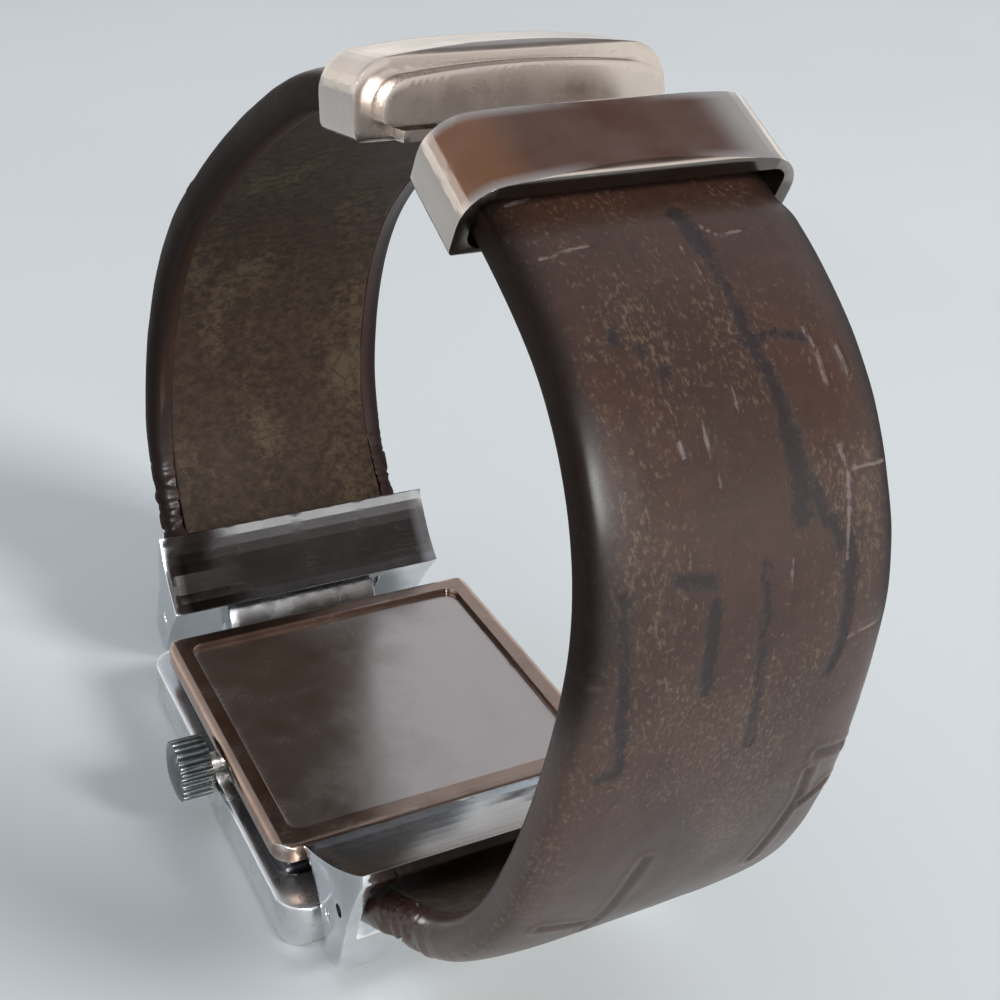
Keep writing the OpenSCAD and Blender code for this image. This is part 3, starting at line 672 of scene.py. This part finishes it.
def rgba(color):
    """A colour with its alpha, or a socket as it is."""
    return color if isinstance(color, bpy.types.NodeSocket) else (*tuple(color)[:3], 1.0)


def blend(tree, factor, a, b):
    """Mixes two colours."""
    made = add(tree, "ShaderNodeMix", {0: factor, 6: rgba(a), 7: rgba(b)}, data_type="RGBA")
    return made.outputs[2]


def ramp(tree, value, low, high, to_low=0.0, to_high=1.0):
    """A smooth step from to_low to to_high while the value runs from low to high."""
    inputs = {"Value": value, "From Min": low, "From Max": high, "To Min": to_low, "To Max": to_high}
    return add(tree, "ShaderNodeMapRange", inputs, interpolation_type="SMOOTHSTEP").outputs["Result"]


def noise_node(tree, vector, scale, detail=3.0, roughness=0.55):
    inputs = {"Vector": vector, "Scale": scale, "Detail": detail, "Roughness": roughness}
    return add(tree, "ShaderNodeTexNoise", inputs).outputs["Fac"]


def cell_edges(tree, vector, scale):
    """Distance to the nearest border between cells."""
    inputs = {"Vector": vector, "Scale": scale}
    return add(tree, "ShaderNodeTexVoronoi", inputs, feature="DISTANCE_TO_EDGE").outputs["Distance"]


def attribute(tree, name, output="Fac"):
    return add(tree, "ShaderNodeAttribute", attribute_name=name).outputs[output]


def mapped(tree, vector, scale=(1, 1, 1), rotation=(0, 0, 0), location=(0, 0, 0)):
    inputs = {"Vector": vector, "Scale": scale, "Rotation": rotation, "Location": location}
    return add(tree, "ShaderNodeMapping", inputs).outputs[0]


def millimetres(tree):
    """Object coordinates in millimetres."""
    coords = add(tree, "ShaderNodeTexCoord").outputs["Object"]
    return mapped(tree, coords, scale=(1000, 1000, 1000))


def edge_wear(tree, given):
    """The rubbed edges that a piece's wear attribute marks, broken by noise."""
    broken = noise_node(tree, given["Vector"], given["Breakup"], detail=4)
    lifted = plus(tree, attribute(tree, "wear"), both_ways(tree, broken, 0.35))
    return ramp(tree, lifted, given["Start"], given["End"])


def brushed_grain(tree, given):
    """Fine lines left by brushing."""
    return noise_node(tree, given["Vector"], given["Fineness"], detail=3)


def fine_scratches(tree, given):
    """Patches of hair scratches in three directions."""
    patch = ramp(tree, noise_node(tree, given["Vector"], 0.35, detail=2), 0.5, 0.66)
    total = None
    for turn in (0.3, 1.15, 2.2):
        lines = mapped(tree, given["Vector"], scale=(0.22, 3.4, 0.8), rotation=(0.2, 0.1, turn))
        thin = ramp(tree, cell_edges(tree, lines, given["Scale"]), 0.02, 0.0)
        thin = times(tree, thin, patch)
        total = thin if total is None else math_node(tree, "MAXIMUM", total, thin)
    return times(tree, total, given["Share"])


def rubbed_flecks(tree, given):
    """Specks, more and larger ones where the amount is higher."""
    long = mapped(tree, given["Vector"], scale=(1.0, 0.55, 0.6), rotation=(0, 0, 0.18))
    specks = noise_node(tree, long, given["Scale"], detail=2.5, roughness=0.7)
    edge = minus(tree, 0.80, times(tree, given["Amount"], 0.30))
    return math_node(tree, "MULTIPLY", minus(tree, specks, edge), 6.0, clamp=True)


def hide_grain(tree, given):
    """Pebbles and fine pores of a hide."""
    inputs = {"Vector": given["Vector"], "Scale": given["Scale"], "Smoothness": 0.6}
    cells = add(tree, "ShaderNodeTexVoronoi", inputs, feature="SMOOTH_F1").outputs["Distance"]
    fine = noise_node(tree, given["Vector"], 7.5, detail=4, roughness=0.65)
    return plus(tree, times(tree, cells, given["Softness"]), times(tree, fine, 0.5))


# maker, numbers taken in and output of each shader group that the materials share
GROUP_MAKERS = {
    "Edge Wear": (edge_wear, ("Start", "End", "Breakup"), "Mask"),
    "Brushed Grain": (brushed_grain, ("Fineness",), "Height"),
    "Fine Scratches": (fine_scratches, ("Scale", "Share"), "Mask"),
    "Rubbed Flecks": (rubbed_flecks, ("Scale", "Amount"), "Mask"),
    "Hide Grain": (hide_grain, ("Scale", "Softness"), "Height"),
}
GROUPS = {}  # those made so far


def shared(tree, name, **inputs):
    """The output of a shared group placed in a material, made when it is first asked for."""
    if name not in GROUPS:
        maker, numbers, output = GROUP_MAKERS[name]
        group = bpy.data.node_groups.new(name, "ShaderNodeTree")
        group.interface.new_socket("Vector", in_out="INPUT", socket_type="NodeSocketVector")
        for number in numbers:
            group.interface.new_socket(number, in_out="INPUT", socket_type="NodeSocketFloat")
        group.interface.new_socket(output, in_out="OUTPUT", socket_type="NodeSocketFloat")
        made = maker(group, group.nodes.new("NodeGroupInput").outputs)
        group.links.new(made, group.nodes.new("NodeGroupOutput").inputs[output])
        GROUPS[name] = group
    return add(tree, "ShaderNodeGroup", inputs, node_tree=GROUPS[name]).outputs[0]


def new_material(name):
    material = bpy.data.materials.new(name)
    material.use_nodes = True
    tree = material.node_tree
    return material, tree, tree.nodes["Principled BSDF"]


def bump(tree, height, distance, strength=1.0, normal=None):
    inputs = {"Height": height, "Distance": distance, "Strength": strength}
    if normal is not None:
        inputs["Normal"] = normal
    return add(tree, "ShaderNodeBump", inputs).outputs[0]


def leather_material():
    """Printed brown leather: dark streaks, golden flecks, scratches and creases along the strap, with
    painted shade along its sides and in its creases.
    """
    leather = settings("leather")
    material, tree, shader = new_material("Brown leather")
    place = attribute(tree, "place", "Vector")
    cloudy = noise_node(tree, mapped(tree, place, scale=(0.16, 0.09, 0.1)), 1.0, detail=4)
    brown = ramp(tree, cloudy, 0.35, 0.68, 0.45, 1.0)
    color = blend(tree, brown, leather.leather_dark, leather.leather_color)
    mottle = ramp(tree, noise_node(tree, place, 0.9, detail=5, roughness=0.65), 0.42, 0.75, 0.0, 0.45)
    color = blend(tree, mottle, color, scaled(leather.leather_color, 1.45))

    # golden flecks gather in clouds
    clouds = mapped(tree, place, scale=(0.13, 0.07, 0.1), location=(3.1, 1.7, 0))
    amount = ramp(tree, noise_node(tree, clouds, 1.0, detail=3), 0.34, 0.66, 0.52, 1.05)
    flecks = shared(tree, "Rubbed Flecks", Vector=place, Scale=3.8, Amount=amount)
    flecks = times(tree, flecks, ramp(tree, attribute(tree, "outer"), 0.3, 0.9, 0.0, 0.56))
    color = blend(tree, flecks, color, leather.fleck_color)

    # painted shade, dark along the sides and on the inner border
    side = attribute(tree, "side")
    rim = times(tree, ramp(tree, side, 0.78, 0.95), 0.9)
    color = blend(tree, rim, color, scaled(leather.leather_dark, 0.45))

    # streaks, with edges broken by noise and fibres showing through
    torn = mapped(tree, place, scale=(1.0, 0.6, 1.0))
    torn = both_ways(tree, noise_node(tree, torn, 2.6, detail=6, roughness=0.75), 1.7)
    streak = ramp(tree, plus(tree, attribute(tree, "streak"), torn), 0.32, -0.12, 0.0, 0.92)
    fibre = mapped(tree, place, scale=(2.2, 0.9, 1.0), rotation=(0, 0, 0.3))
    fibre = noise_node(tree, fibre, 2.0, detail=5, roughness=0.7)
    streak = times(tree, streak, ramp(tree, fibre, 0.34, 0.66, 1.0, 0.74))
    color = blend(tree, streak, color, leather.streak_color)

    # painted shade in the creases and wrinkle valleys; scratches are pale
    crease = ramp(tree, attribute(tree, "crease"), 0.34, 0.06, 0.0, 0.8)
    color = blend(tree, crease, color, leather.leather_dark)
    away = attribute(tree, "scratch")
    wobble = both_ways(tree, noise_node(tree, place, 1.6), 0.35)
    scratch = ramp(tree, plus(tree, away, wobble), 0.16, 0.05, 0.0, 0.7)
    color = blend(tree, scratch, color, leather.scratch_color)

    rough = plus(tree, ramp(tree, cloudy, 0.3, 0.7, 0.50, 0.36), times(tree, streak, 0.16))
    rough = plus(tree, rough, times(tree, rim, 0.18))
    grain = shared(tree, "Hide Grain", Vector=place, Scale=2.2, Softness=0.5)
    height = minus(tree, grain, times(tree, streak, 0.9))
    height = plus(tree, height, times(tree, flecks, 0.35))
    normal = bump(tree, height, 0.045 * MM, 0.7)
    groove = times(tree, ramp(tree, away, 0.22, 0.02), -1.0)
    feed(tree, shader, {
        "Base Color": color, "Roughness": rough, "Coat Roughness": 0.30,
        "Coat Weight": ramp(tree, side, 0.86, 0.98, 0.50, 0.0),
        "Specular IOR Level": ramp(tree, side, 0.78, 0.95, 0.18, 0.08),
        "Normal": bump(tree, groove, 0.08 * MM, 0.8, normal)})
    return material


def lining_material():
    """Dark lining with pale olive patches and fine cracks where it is worn."""
    leather = settings("leather")
    material, tree, shader = new_material("Worn lining")
    place = attribute(tree, "place", "Vector")
    broad = mapped(tree, place, scale=(0.12, 0.045, 0.0), location=(0.4, 2.2, 0))
    broad = noise_node(tree, broad, 1.0, detail=5, roughness=0.6)
    fine = noise_node(tree, place, 1.3, detail=6, roughness=0.7)
    worn = plus(tree, times(tree, broad, 0.72), times(tree, fine, 0.28))
    dark = scaled(leather.lining_color, 0.45)
    color = blend(tree, ramp(tree, fine, 0.3, 0.7), dark, leather.lining_color)
    color = blend(tree, ramp(tree, worn, 0.50, 0.63, 0.0, 0.85), color, leather.patch_color)
    cracks = cell_edges(tree, mapped(tree, place, scale=(0.35, 0.22, 0.3)), 1.0)
    cracked = times(tree, ramp(tree, cracks, 0.03, 0.0, 0.0, 0.45), ramp(tree, broad, 0.52, 0.66))
    weave = noise_node(tree, place, 5.0, detail=4, roughness=0.7)
    height = minus(tree, weave, times(tree, cracked, 1.5))
    feed(tree, shader, {
        "Base Color": blend(tree, cracked, color, (0.012, 0.009, 0.007)),
        "Roughness": ramp(tree, worn, 0.4, 0.65, 0.62, 0.78), "Specular IOR Level": 0.18,
        "Normal": bump(tree, height, 0.05 * MM, 0.7)})
    return material


def steel_material(name, base, dull, bright=None, rough=(0.24, 0.42), grain=(1.0, 8.0, 1.0), depth=0.004,
                   wear=(0.06, 0.34), painted_reflection=None, painted_reflection_end=None, dulled=0.4, scratched=0.16):
    """Satin steel: smudged and dull on its faces, bright and rubbed along its edges.

    A painted reflection lies where the piece's painted_reflection attribute is above 0, and turns to
    painted_reflection_end with its warm one.
    """
    material, tree, shader = new_material(name)
    where = millimetres(tree)
    smudge = noise_node(tree, where, 0.22, detail=5, roughness=0.6)
    color = blend(tree, ramp(tree, smudge, 0.36, 0.72, 0.0, dulled), base, dull)
    if painted_reflection is not None:
        # painted reflection: a tint laid over the steel where the piece's attribute marks it
        reflection_mask = times(tree, attribute(tree, "painted_reflection"), ramp(tree, smudge, 0.2, 0.8, 1.0, 0.86))
        if painted_reflection_end is not None:
            painted_reflection = blend(tree, attribute(tree, "warm"), painted_reflection, painted_reflection_end)
        color = blend(tree, reflection_mask, color, painted_reflection)
    sharp = shared(tree, "Edge Wear", Vector=where, Start=wear[0], End=wear[1], Breakup=0.9)
    lifted = bright or [min(1.0, 1.25 * c) for c in base]
    color = blend(tree, times(tree, sharp, 0.85), color, lifted)
    # painted shade: near-black where the surface turns inwards, and on the clasp caps' mouth rims
    hollow_shade = ramp(tree, attribute(tree, "wear"), -0.05, -0.35, 0.0, 0.75)
    color = blend(tree, hollow_shade, color, (0.03, 0.025, 0.022))
    scratches = shared(tree, "Fine Scratches", Vector=where, Scale=0.7, Share=scratched)
    lines = shared(tree, "Brushed Grain", Vector=mapped(tree, where, scale=grain), Fineness=2.0)
    height = minus(tree, lines, times(tree, scratches, 0.8))
    roughness = ramp(tree, smudge, 0.3, 0.72, rough[0], rough[1])
    feed(tree, shader, {
        "Base Color": blend(tree, scratches, color, lifted), "Metallic": 1.0,
        "Roughness": plus(tree, roughness, times(tree, scratches, 0.15)),
        "Normal": bump(tree, height, depth * MM, 0.6)})
    return material


def plain_material(name, color, second, rough, metallic=0.0, scale=1.0, depth=0.01, coat=0.0):
    """A small part's finish, mottled and slightly uneven."""
    material, tree, shader = new_material(name)
    spots = noise_node(tree, millimetres(tree), scale, detail=5, roughness=0.65)
    feed(tree, shader, {
        "Base Color": blend(tree, ramp(tree, spots, 0.35, 0.7), color, second),
        "Roughness": ramp(tree, spots, 0.3, 0.7, rough, rough + 0.15),
        "Metallic": metallic, "Coat Weight": coat, "Normal": bump(tree, spots, depth * MM, 0.5)})
    return material


def plain_metal(name, color, second, rough, **fields):
    """A small metal part's finish."""
    return plain_material(name, color, second, rough, metallic=1.0, **fields)


def glass_material():
    """Clear crystal with a few hair scratches."""
    material, tree, shader = new_material("Crystal glass")
    hair = shared(tree, "Fine Scratches", Vector=millimetres(tree), Scale=0.5, Share=0.12)
    feed(tree, shader, {
        "Base Color": blend(tree, hair, (0.96, 0.98, 0.98), (0.85, 0.87, 0.87)),
        "Roughness": ramp(tree, hair, 0.0, 1.0, 0.02, 0.6), "Transmission Weight": 1.0, "IOR": 1.5})
    return material


# Pieces


def place_camera(stage):
    """The camera looks at its target from a distance, with a turn, a tilt and a roll."""
    level = math.cos(stage.tilt)
    ahead = Vector((math.sin(stage.turn) * level, math.cos(stage.turn) * level, -math.sin(stage.tilt)))
    deselect_all()
    bpy.ops.object.camera_add()
    camera = bpy.context.active_object
    camera.name = "WatchCamera"
    turned = Matrix.Rotation(-stage.turn, 4, "Z")
    turned @= Matrix.Rotation(math.pi / 2 - stage.tilt, 4, "X")
    turned @= Matrix.Rotation(stage.roll, 4, "Z")
    camera.matrix_world = Matrix.Translation(Vector(stage.target) - ahead * stage.distance) @ turned
    set_fields(camera.data, lens=stage.lens, sensor_width=36.0, sensor_fit="HORIZONTAL",
               clip_start=0.005, clip_end=20.0)
    bpy.context.scene.camera = camera


def lay_floor(stage):
    """A pale, faintly mottled floor just under the watch."""
    deselect_all()
    bpy.ops.mesh.primitive_plane_add(size=6.0, location=(0, 0, -0.02 * MM))
    floor = bpy.context.active_object
    floor.name = "Floor"
    bpy.ops.object.transform_apply(location=True, rotation=True, scale=True)
    material, tree, shader = new_material("Pale floor")
    where = add(tree, "ShaderNodeTexCoord").outputs["Object"]
    soft = ramp(tree, noise_node(tree, where, 9.0, detail=2), 0.3, 0.7)
    feed(tree, shader, {
        "Base Color": blend(tree, soft, stage.floor_color, scaled(stage.floor_color, 0.97)),
        "Roughness": 0.6, "Specular IOR Level": 0.3})
    floor.data.materials.append(material)


def hang_lamps(stage):
    """Square lamps aimed at the watch."""
    lamps = (
        # name, place, size, power, colour, seen in shiny surfaces, lights matt ones
        ("KeyLamp", (0.60, -0.84, 0.70), 0.38, stage.key_power, (1.0, 0.985, 0.96), False, True),
        ("SideLamp", (-0.50, -0.16, 0.22), 0.30, stage.side_power, (0.93, 0.97, 1.0), True, True),
        ("LowLamp", (-0.14, -0.57, 0.34), 0.18, stage.low_power, (0.97, 0.98, 1.0), True, False),
    )
    for name, where, size, power, color, glossy, matt in lamps:
        aim = (Vector((0, 0, 0.02)) - Vector(where)).to_track_quat("-Z", "Y").to_euler()
        deselect_all()
        bpy.ops.object.light_add(type="AREA", location=where, rotation=aim)
        lamp = bpy.context.active_object
        set_fields(lamp, name=name, visible_glossy=glossy, visible_diffuse=matt)
        set_fields(lamp.data, shape="SQUARE", size=size, energy=power, color=color)


def light_room(stage):
    """Bright and warm low round the room, a grey ceiling, and the dark room behind the camera."""
    world = bpy.context.scene.world or bpy.data.worlds.new("Room")
    bpy.context.scene.world = world
    world.use_nodes = True
    tree = world.node_tree
    tree.nodes.clear()
    way = add(tree, "ShaderNodeTexCoord").outputs["Generated"]
    axes = add(tree, "ShaderNodeSeparateXYZ", {0: way}).outputs
    room = blend(tree, ramp(tree, axes["Z"], 0.05, 0.62), stage.low_light, stage.high_light)
    behind = times(tree, ramp(tree, axes["Y"], 0.05, -0.55), ramp(tree, axes["Z"], 0.16, 0.42))
    room = blend(tree, times(tree, behind, 0.88), room, stage.dark_room)
    light = add(tree, "ShaderNodeBackground", {"Color": room, "Strength": stage.sky_level})
    add(tree, "ShaderNodeOutputWorld", {"Surface": light.outputs[0]})


class WATCH_OT_stage(bpy.types.Operator):
    """Sets the camera, the pale floor and the soft lamps"""

    bl_idname = "watch.stage"
    bl_label = "Stage"

    def execute(self, context):
        for part in (place_camera, lay_floor, hang_lamps, light_room):
            part(settings("stage"))
        context.scene.view_settings.view_transform = "Standard"
        return {"FINISHED"}


class WATCH_OT_strap_leather(bpy.types.Operator):
    """Makes the two padded leather strap halves"""

    bl_idname = "watch.strap_leather"
    bl_label = "Strap leather"

    def execute(self, context):
        material = leather_material()
        for half, facts in HALVES.items():
            piece = leather_half(half)
            give(piece, facts["body"], "strap_leather_" + half, material)
        return {"FINISHED"}


class WATCH_OT_strap_lining(bpy.types.Operator):
    """Makes the two linings inside the strap"""

    bl_idname = "watch.strap_lining"
    bl_label = "Strap lining"

    def execute(self, context):
        material = lining_material()
        for half, facts in HALVES.items():
            piece, line = lining_half(half)
            give(piece, facts["body"], "strap_lining_" + half, material)
            cut, area = lining_size(piece, line)
        return {"FINISHED"}


def paint_cap_reflection(piece, half):
    """Stores where a clasp cap's painted brown reflection lies, and paints shade on the rim round its
    mouth.
    """
    line = StrapLine(half)
    points, normals = surface(piece)
    place = line.place(points)
    across, along = place[:, 0] / MM, place[:, 1] / MM
    low, high = along.min(), along.max()
    # painted reflection on the cap faces turned outwards from the strap
    painted_reflection = smooth_step(0.40, 0.62, line.facing(normals, place)) * smooth_step(11.6, 10.4, np.abs(across))
    painted_reflection *= smooth_step(low + 0.05, low + 0.4, along) * smooth_step(high - 0.1, high - 0.5, along)
    painted_reflection *= 1 - smooth_step(5.0, 8.2, across)
    store(piece.data, "painted_reflection", painted_reflection * HALVES[half]["cap_reflection"])
    # the warmer end of the painted reflection at the cap's left end
    store(piece.data, "warm", smooth_step(-5.5, -8.8, across))
    # the rim lies in the dark of its own gap
    mouthward = -normals[:, 1:] @ (line.step[-1] / line.step_length[-1])
    wear = np.zeros(len(points), np.float32)
    piece.data.attributes["wear"].data.foreach_get("value", wear)
    store(piece.data, "wear", wear - 0.5 * smooth_step(0.80, 0.96, mouthward))


class WATCH_OT_clasp_caps(bpy.types.Operator):
    """Makes the two clasp caps with their worn edges and painted brown reflection"""

    bl_idname = "watch.clasp_caps"
    bl_label = "Clasp caps"

    def execute(self, context):
        metal = settings("metal")
        for half, facts in HALVES.items():
            steel = steel_material(
                "Cap steel " + half, metal.cap, metal.cap_dull, rough=facts["cap_rough"],
                painted_reflection=metal.copper_reflection, painted_reflection_end=metal.orange_reflection, grain=(0.4, 5.0, 5.0),
                depth=0.002, dulled=0.2, wear=(0.16, 0.50), scratched=0.02)
            piece = steel_piece("clasp_cap_" + half, "ClaspCap" + half, 0.42 * MM)
            paint_cap_reflection(piece, half)
            give(piece, facts["body"], "clasp_cap_" + half, steel)
            nickel = plain_metal("Magnet nickel " + half, (0.60, 0.57, 0.53), (0.48, 0.45, 0.42), 0.25)
            finish(nickel, "clasp_magnet_" + half)
        return {"FINISHED"}


class WATCH_OT_end_links(bpy.types.Operator):
    """Makes the two hinged end links and their pins"""

    bl_idname = "watch.end_links"
    bl_label = "End links"

    def execute(self, context):
        metal = settings("metal")
        reflections = {"12": metal.dark_reflection, "6": metal.cool_reflection}
        for half, facts in HALVES.items():
            steel = steel_material(
                "Link steel " + half, metal.link, metal.link_dull, rough=(0.06, 0.17),
                painted_reflection=reflections[half], grain=(0.3, 5.0, 5.0), depth=0.0015)
            piece = steel_piece("link_" + half, "EndLink" + half, 0.40 * MM)
            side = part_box("link_" + half)[1][0]
            dent(piece, (side, math.copysign(metal.dent_y, facts["pin"][0]), metal.dent_z))
            points, normals = surface(piece)
            # painted reflection on the upward faces of the wrist plates
            painted_reflection = smooth_step(0.35, 0.6, normals[:, 2])
            painted_reflection *= smooth_step(12.4, 11.6, np.abs(points[:, 0]) / MM)
            store(piece.data, "painted_reflection", painted_reflection * facts["link_reflection"])
            give(piece, facts["body"], "link_" + half, steel)
        pin = plain_metal("Pin steel", (0.62, 0.61, 0.60), (0.45, 0.43, 0.42), 0.22)
        finish(pin, "link_pin_12", "link_pin_6")
        return {"FINISHED"}


class WATCH_OT_case(bpy.types.Operator):
    """Makes the bezel, the dark waist, the back frame and the case back"""

    bl_idname = "watch.case"
    bl_label = "Case"

    def execute(self, context):
        metal = settings("metal")
        bright = steel_material(
            "Bezel steel", metal.bezel, metal.silver_dull,
            rough=(0.20, 0.34), grain=(1.0, 1.0, 7.0), dulled=0.2, wear=(0.18, 0.50))
        dark = steel_material(
            "Waist steel", metal.waist, scaled(metal.waist, 0.6),
            bright=(0.30, 0.29, 0.28), rough=(0.14, 0.30), wear=(0.2, 0.6))
        # painted reflection: the frame's copper-brown colour stands in for what its polished bead mirrors
        rim = steel_material(
            "Frame steel", (0.42, 0.30, 0.24), (0.22, 0.15, 0.12),
            bright=(0.86, 0.84, 0.81), rough=(0.14, 0.30), wear=(0.16, 0.42))
        plate = steel_material(
            "Back plate steel", metal.back_plate, scaled(metal.back_plate, 0.75), rough=(0.20, 0.30),
            grain=(0.5, 6.0, 1.0), depth=0.0015, dulled=0.25, wear=(0.22, 0.50), scratched=0.0)
        forms = (
            ("bezel", "Bezel", 0.18 * MM, "satin_silver", bright),
            ("case_middle", "CaseWaist", 0.10 * MM, "blackened_steel", dark),
            ("back_frame", "BackFrame", 0.12 * MM, "satin_silver", rim),
            ("case_back", "CaseBackPlate", 0.08 * MM, "back_steel", plate),
        )
        for node, name, width, slot, steel in forms:
            give(steel_piece(node, name, width), "case", node, steel)
        return {"FINISHED"}


class WATCH_OT_crown(bpy.types.Operator):
    """Makes the fluted crown and finishes its tube, stem and gasket"""

    bl_idname = "watch.crown"
    bl_label = "Crown"

    def execute(self, context):
        metal = settings("metal")
        steel = steel_material(
            "Crown steel", metal.crown, scaled(metal.crown, 0.45), bright=(0.50, 0.52, 0.51),
            rough=(0.24, 0.40), wear=(0.10, 0.45), grain=(1, 1, 1))
        piece = steel_piece("crown", "WindingCrown", 0.07 * MM, angle=40)
        give(piece, "crown", "crown", steel)
        tube = plain_metal("Tube steel", (0.60, 0.58, 0.56), (0.42, 0.40, 0.39), 0.25)
        finish(tube, "crown_tube", "stem")
        rubber = plain_material("Seal rubber", (0.025, 0.025, 0.026), (0.04, 0.04, 0.04), 0.6, scale=2.0)
        finish(rubber, "crown_gasket", "crystal_gasket", "back_gasket")
        return {"FINISHED"}


class WATCH_OT_dial_side(bpy.types.Operator):
    """Finishes the crystal, dial, hour bars and hands"""

    bl_idname = "watch.dial_side"
    bl_label = "Dial side"

    def execute(self, context):
        dial = settings("dial")
        finish(glass_material(), "crystal")
        enamel = plain_material(
            "Dial enamel", dial.dial, scaled(dial.dial, 0.93), 0.32, scale=0.6, depth=0.004, coat=0.3)
        finish(enamel, "dial")
        finish(plain_metal("Marker steel", (0.66, 0.65, 0.63), (0.50, 0.49, 0.48), 0.18), "hour_markers")
        lacquer = plain_material(
            "Hand lacquer", dial.hands, scaled(dial.hands, 1.8), 0.28, scale=2.0, coat=0.4)
        finish(lacquer, "hour_hand", "minute_hand")
        return {"FINISHED"}


class WATCH_OT_movement(bpy.types.Operator):
    """Finishes the pieces of the movement"""

    bl_idname = "watch.movement"
    bl_label = "Movement"

    def execute(self, context):
        dial = settings("dial")
        brass = plain_metal("Movement brass", dial.brass, scaled(dial.brass, 0.75), 0.28)
        finish(brass, "main_plate", "train_bridge", "battery_clamp")
        finish(brass, "hour_wheel", "cannon_pinion", "minute_wheel")
        steel = plain_metal("Movement steel", (0.60, 0.60, 0.61), (0.44, 0.44, 0.45), 0.24)
        finish(steel, "stator", "battery", "movement_screws")
        plastic = plain_material("Ring plastic", (0.70, 0.69, 0.66), (0.62, 0.61, 0.58), 0.45)
        finish(plastic, "movement_ring")
        board = plain_material("Board green", (0.012, 0.09, 0.035), (0.02, 0.13, 0.05), 0.30, coat=0.3)
        finish(board, "circuit_board")
        copper = plain_metal("Coil copper", (0.55, 0.24, 0.10), (0.42, 0.17, 0.07), 0.30, scale=6.0)
        finish(copper, "coil")
        return {"FINISHED"}


class WATCH_PT_sidebar(bpy.types.Panel):
    """Settings and pieces of the wristwatch"""

    bl_idname = "WATCH_PT_sidebar"
    bl_label = "Square Wristwatch"
    bl_space_type = "VIEW_3D"
    bl_region_type = "UI"
    bl_category = "Wristwatch"

    def draw(self, context):
        for operator in OPERATORS:
            self.layout.operator(operator.bl_idname)
        for kind, group in GROUP_CLASSES.items():
            box = self.layout.box()
            box.label(text=group.__doc__)
            for field in group.__annotations__:
                box.prop(settings(kind), field)


GROUP_CLASSES = {
    "stage": WatchStageSettings,
    "leather": WatchLeatherSettings,
    "metal": WatchMetalSettings,
    "dial": WatchDialSettings,
}
OPERATORS = (
    WATCH_OT_stage,
    WATCH_OT_strap_leather,
    WATCH_OT_strap_lining,
    WATCH_OT_clasp_caps,
    WATCH_OT_end_links,
    WATCH_OT_case,
    WATCH_OT_crown,
    WATCH_OT_dial_side,
    WATCH_OT_movement,
)


def register():
    for kind, group in GROUP_CLASSES.items():
        bpy.utils.register_class(group)
        setattr(bpy.types.Scene, "watch_" + kind, PointerProperty(type=group))
    for operator in OPERATORS:
        bpy.utils.register_class(operator)
    bpy.utils.register_class(WATCH_PT_sidebar)


def unregister():
    bpy.utils.unregister_class(WATCH_PT_sidebar)
    for operator in reversed(OPERATORS):
        bpy.utils.unregister_class(operator)
    for kind, group in reversed(GROUP_CLASSES.items()):
        delattr(bpy.types.Scene, "watch_" + kind)
        bpy.utils.unregister_class(group)


def main():
    register()
    bpy.ops.watch.stage()
    bpy.ops.watch.strap_leather()
    bpy.ops.watch.strap_lining()
    bpy.ops.watch.clasp_caps()
    bpy.ops.watch.end_links()
    bpy.ops.watch.case()
    bpy.ops.watch.crown()
    bpy.ops.watch.dial_side()
    bpy.ops.watch.movement()


if __name__ == "__main__":
    main()
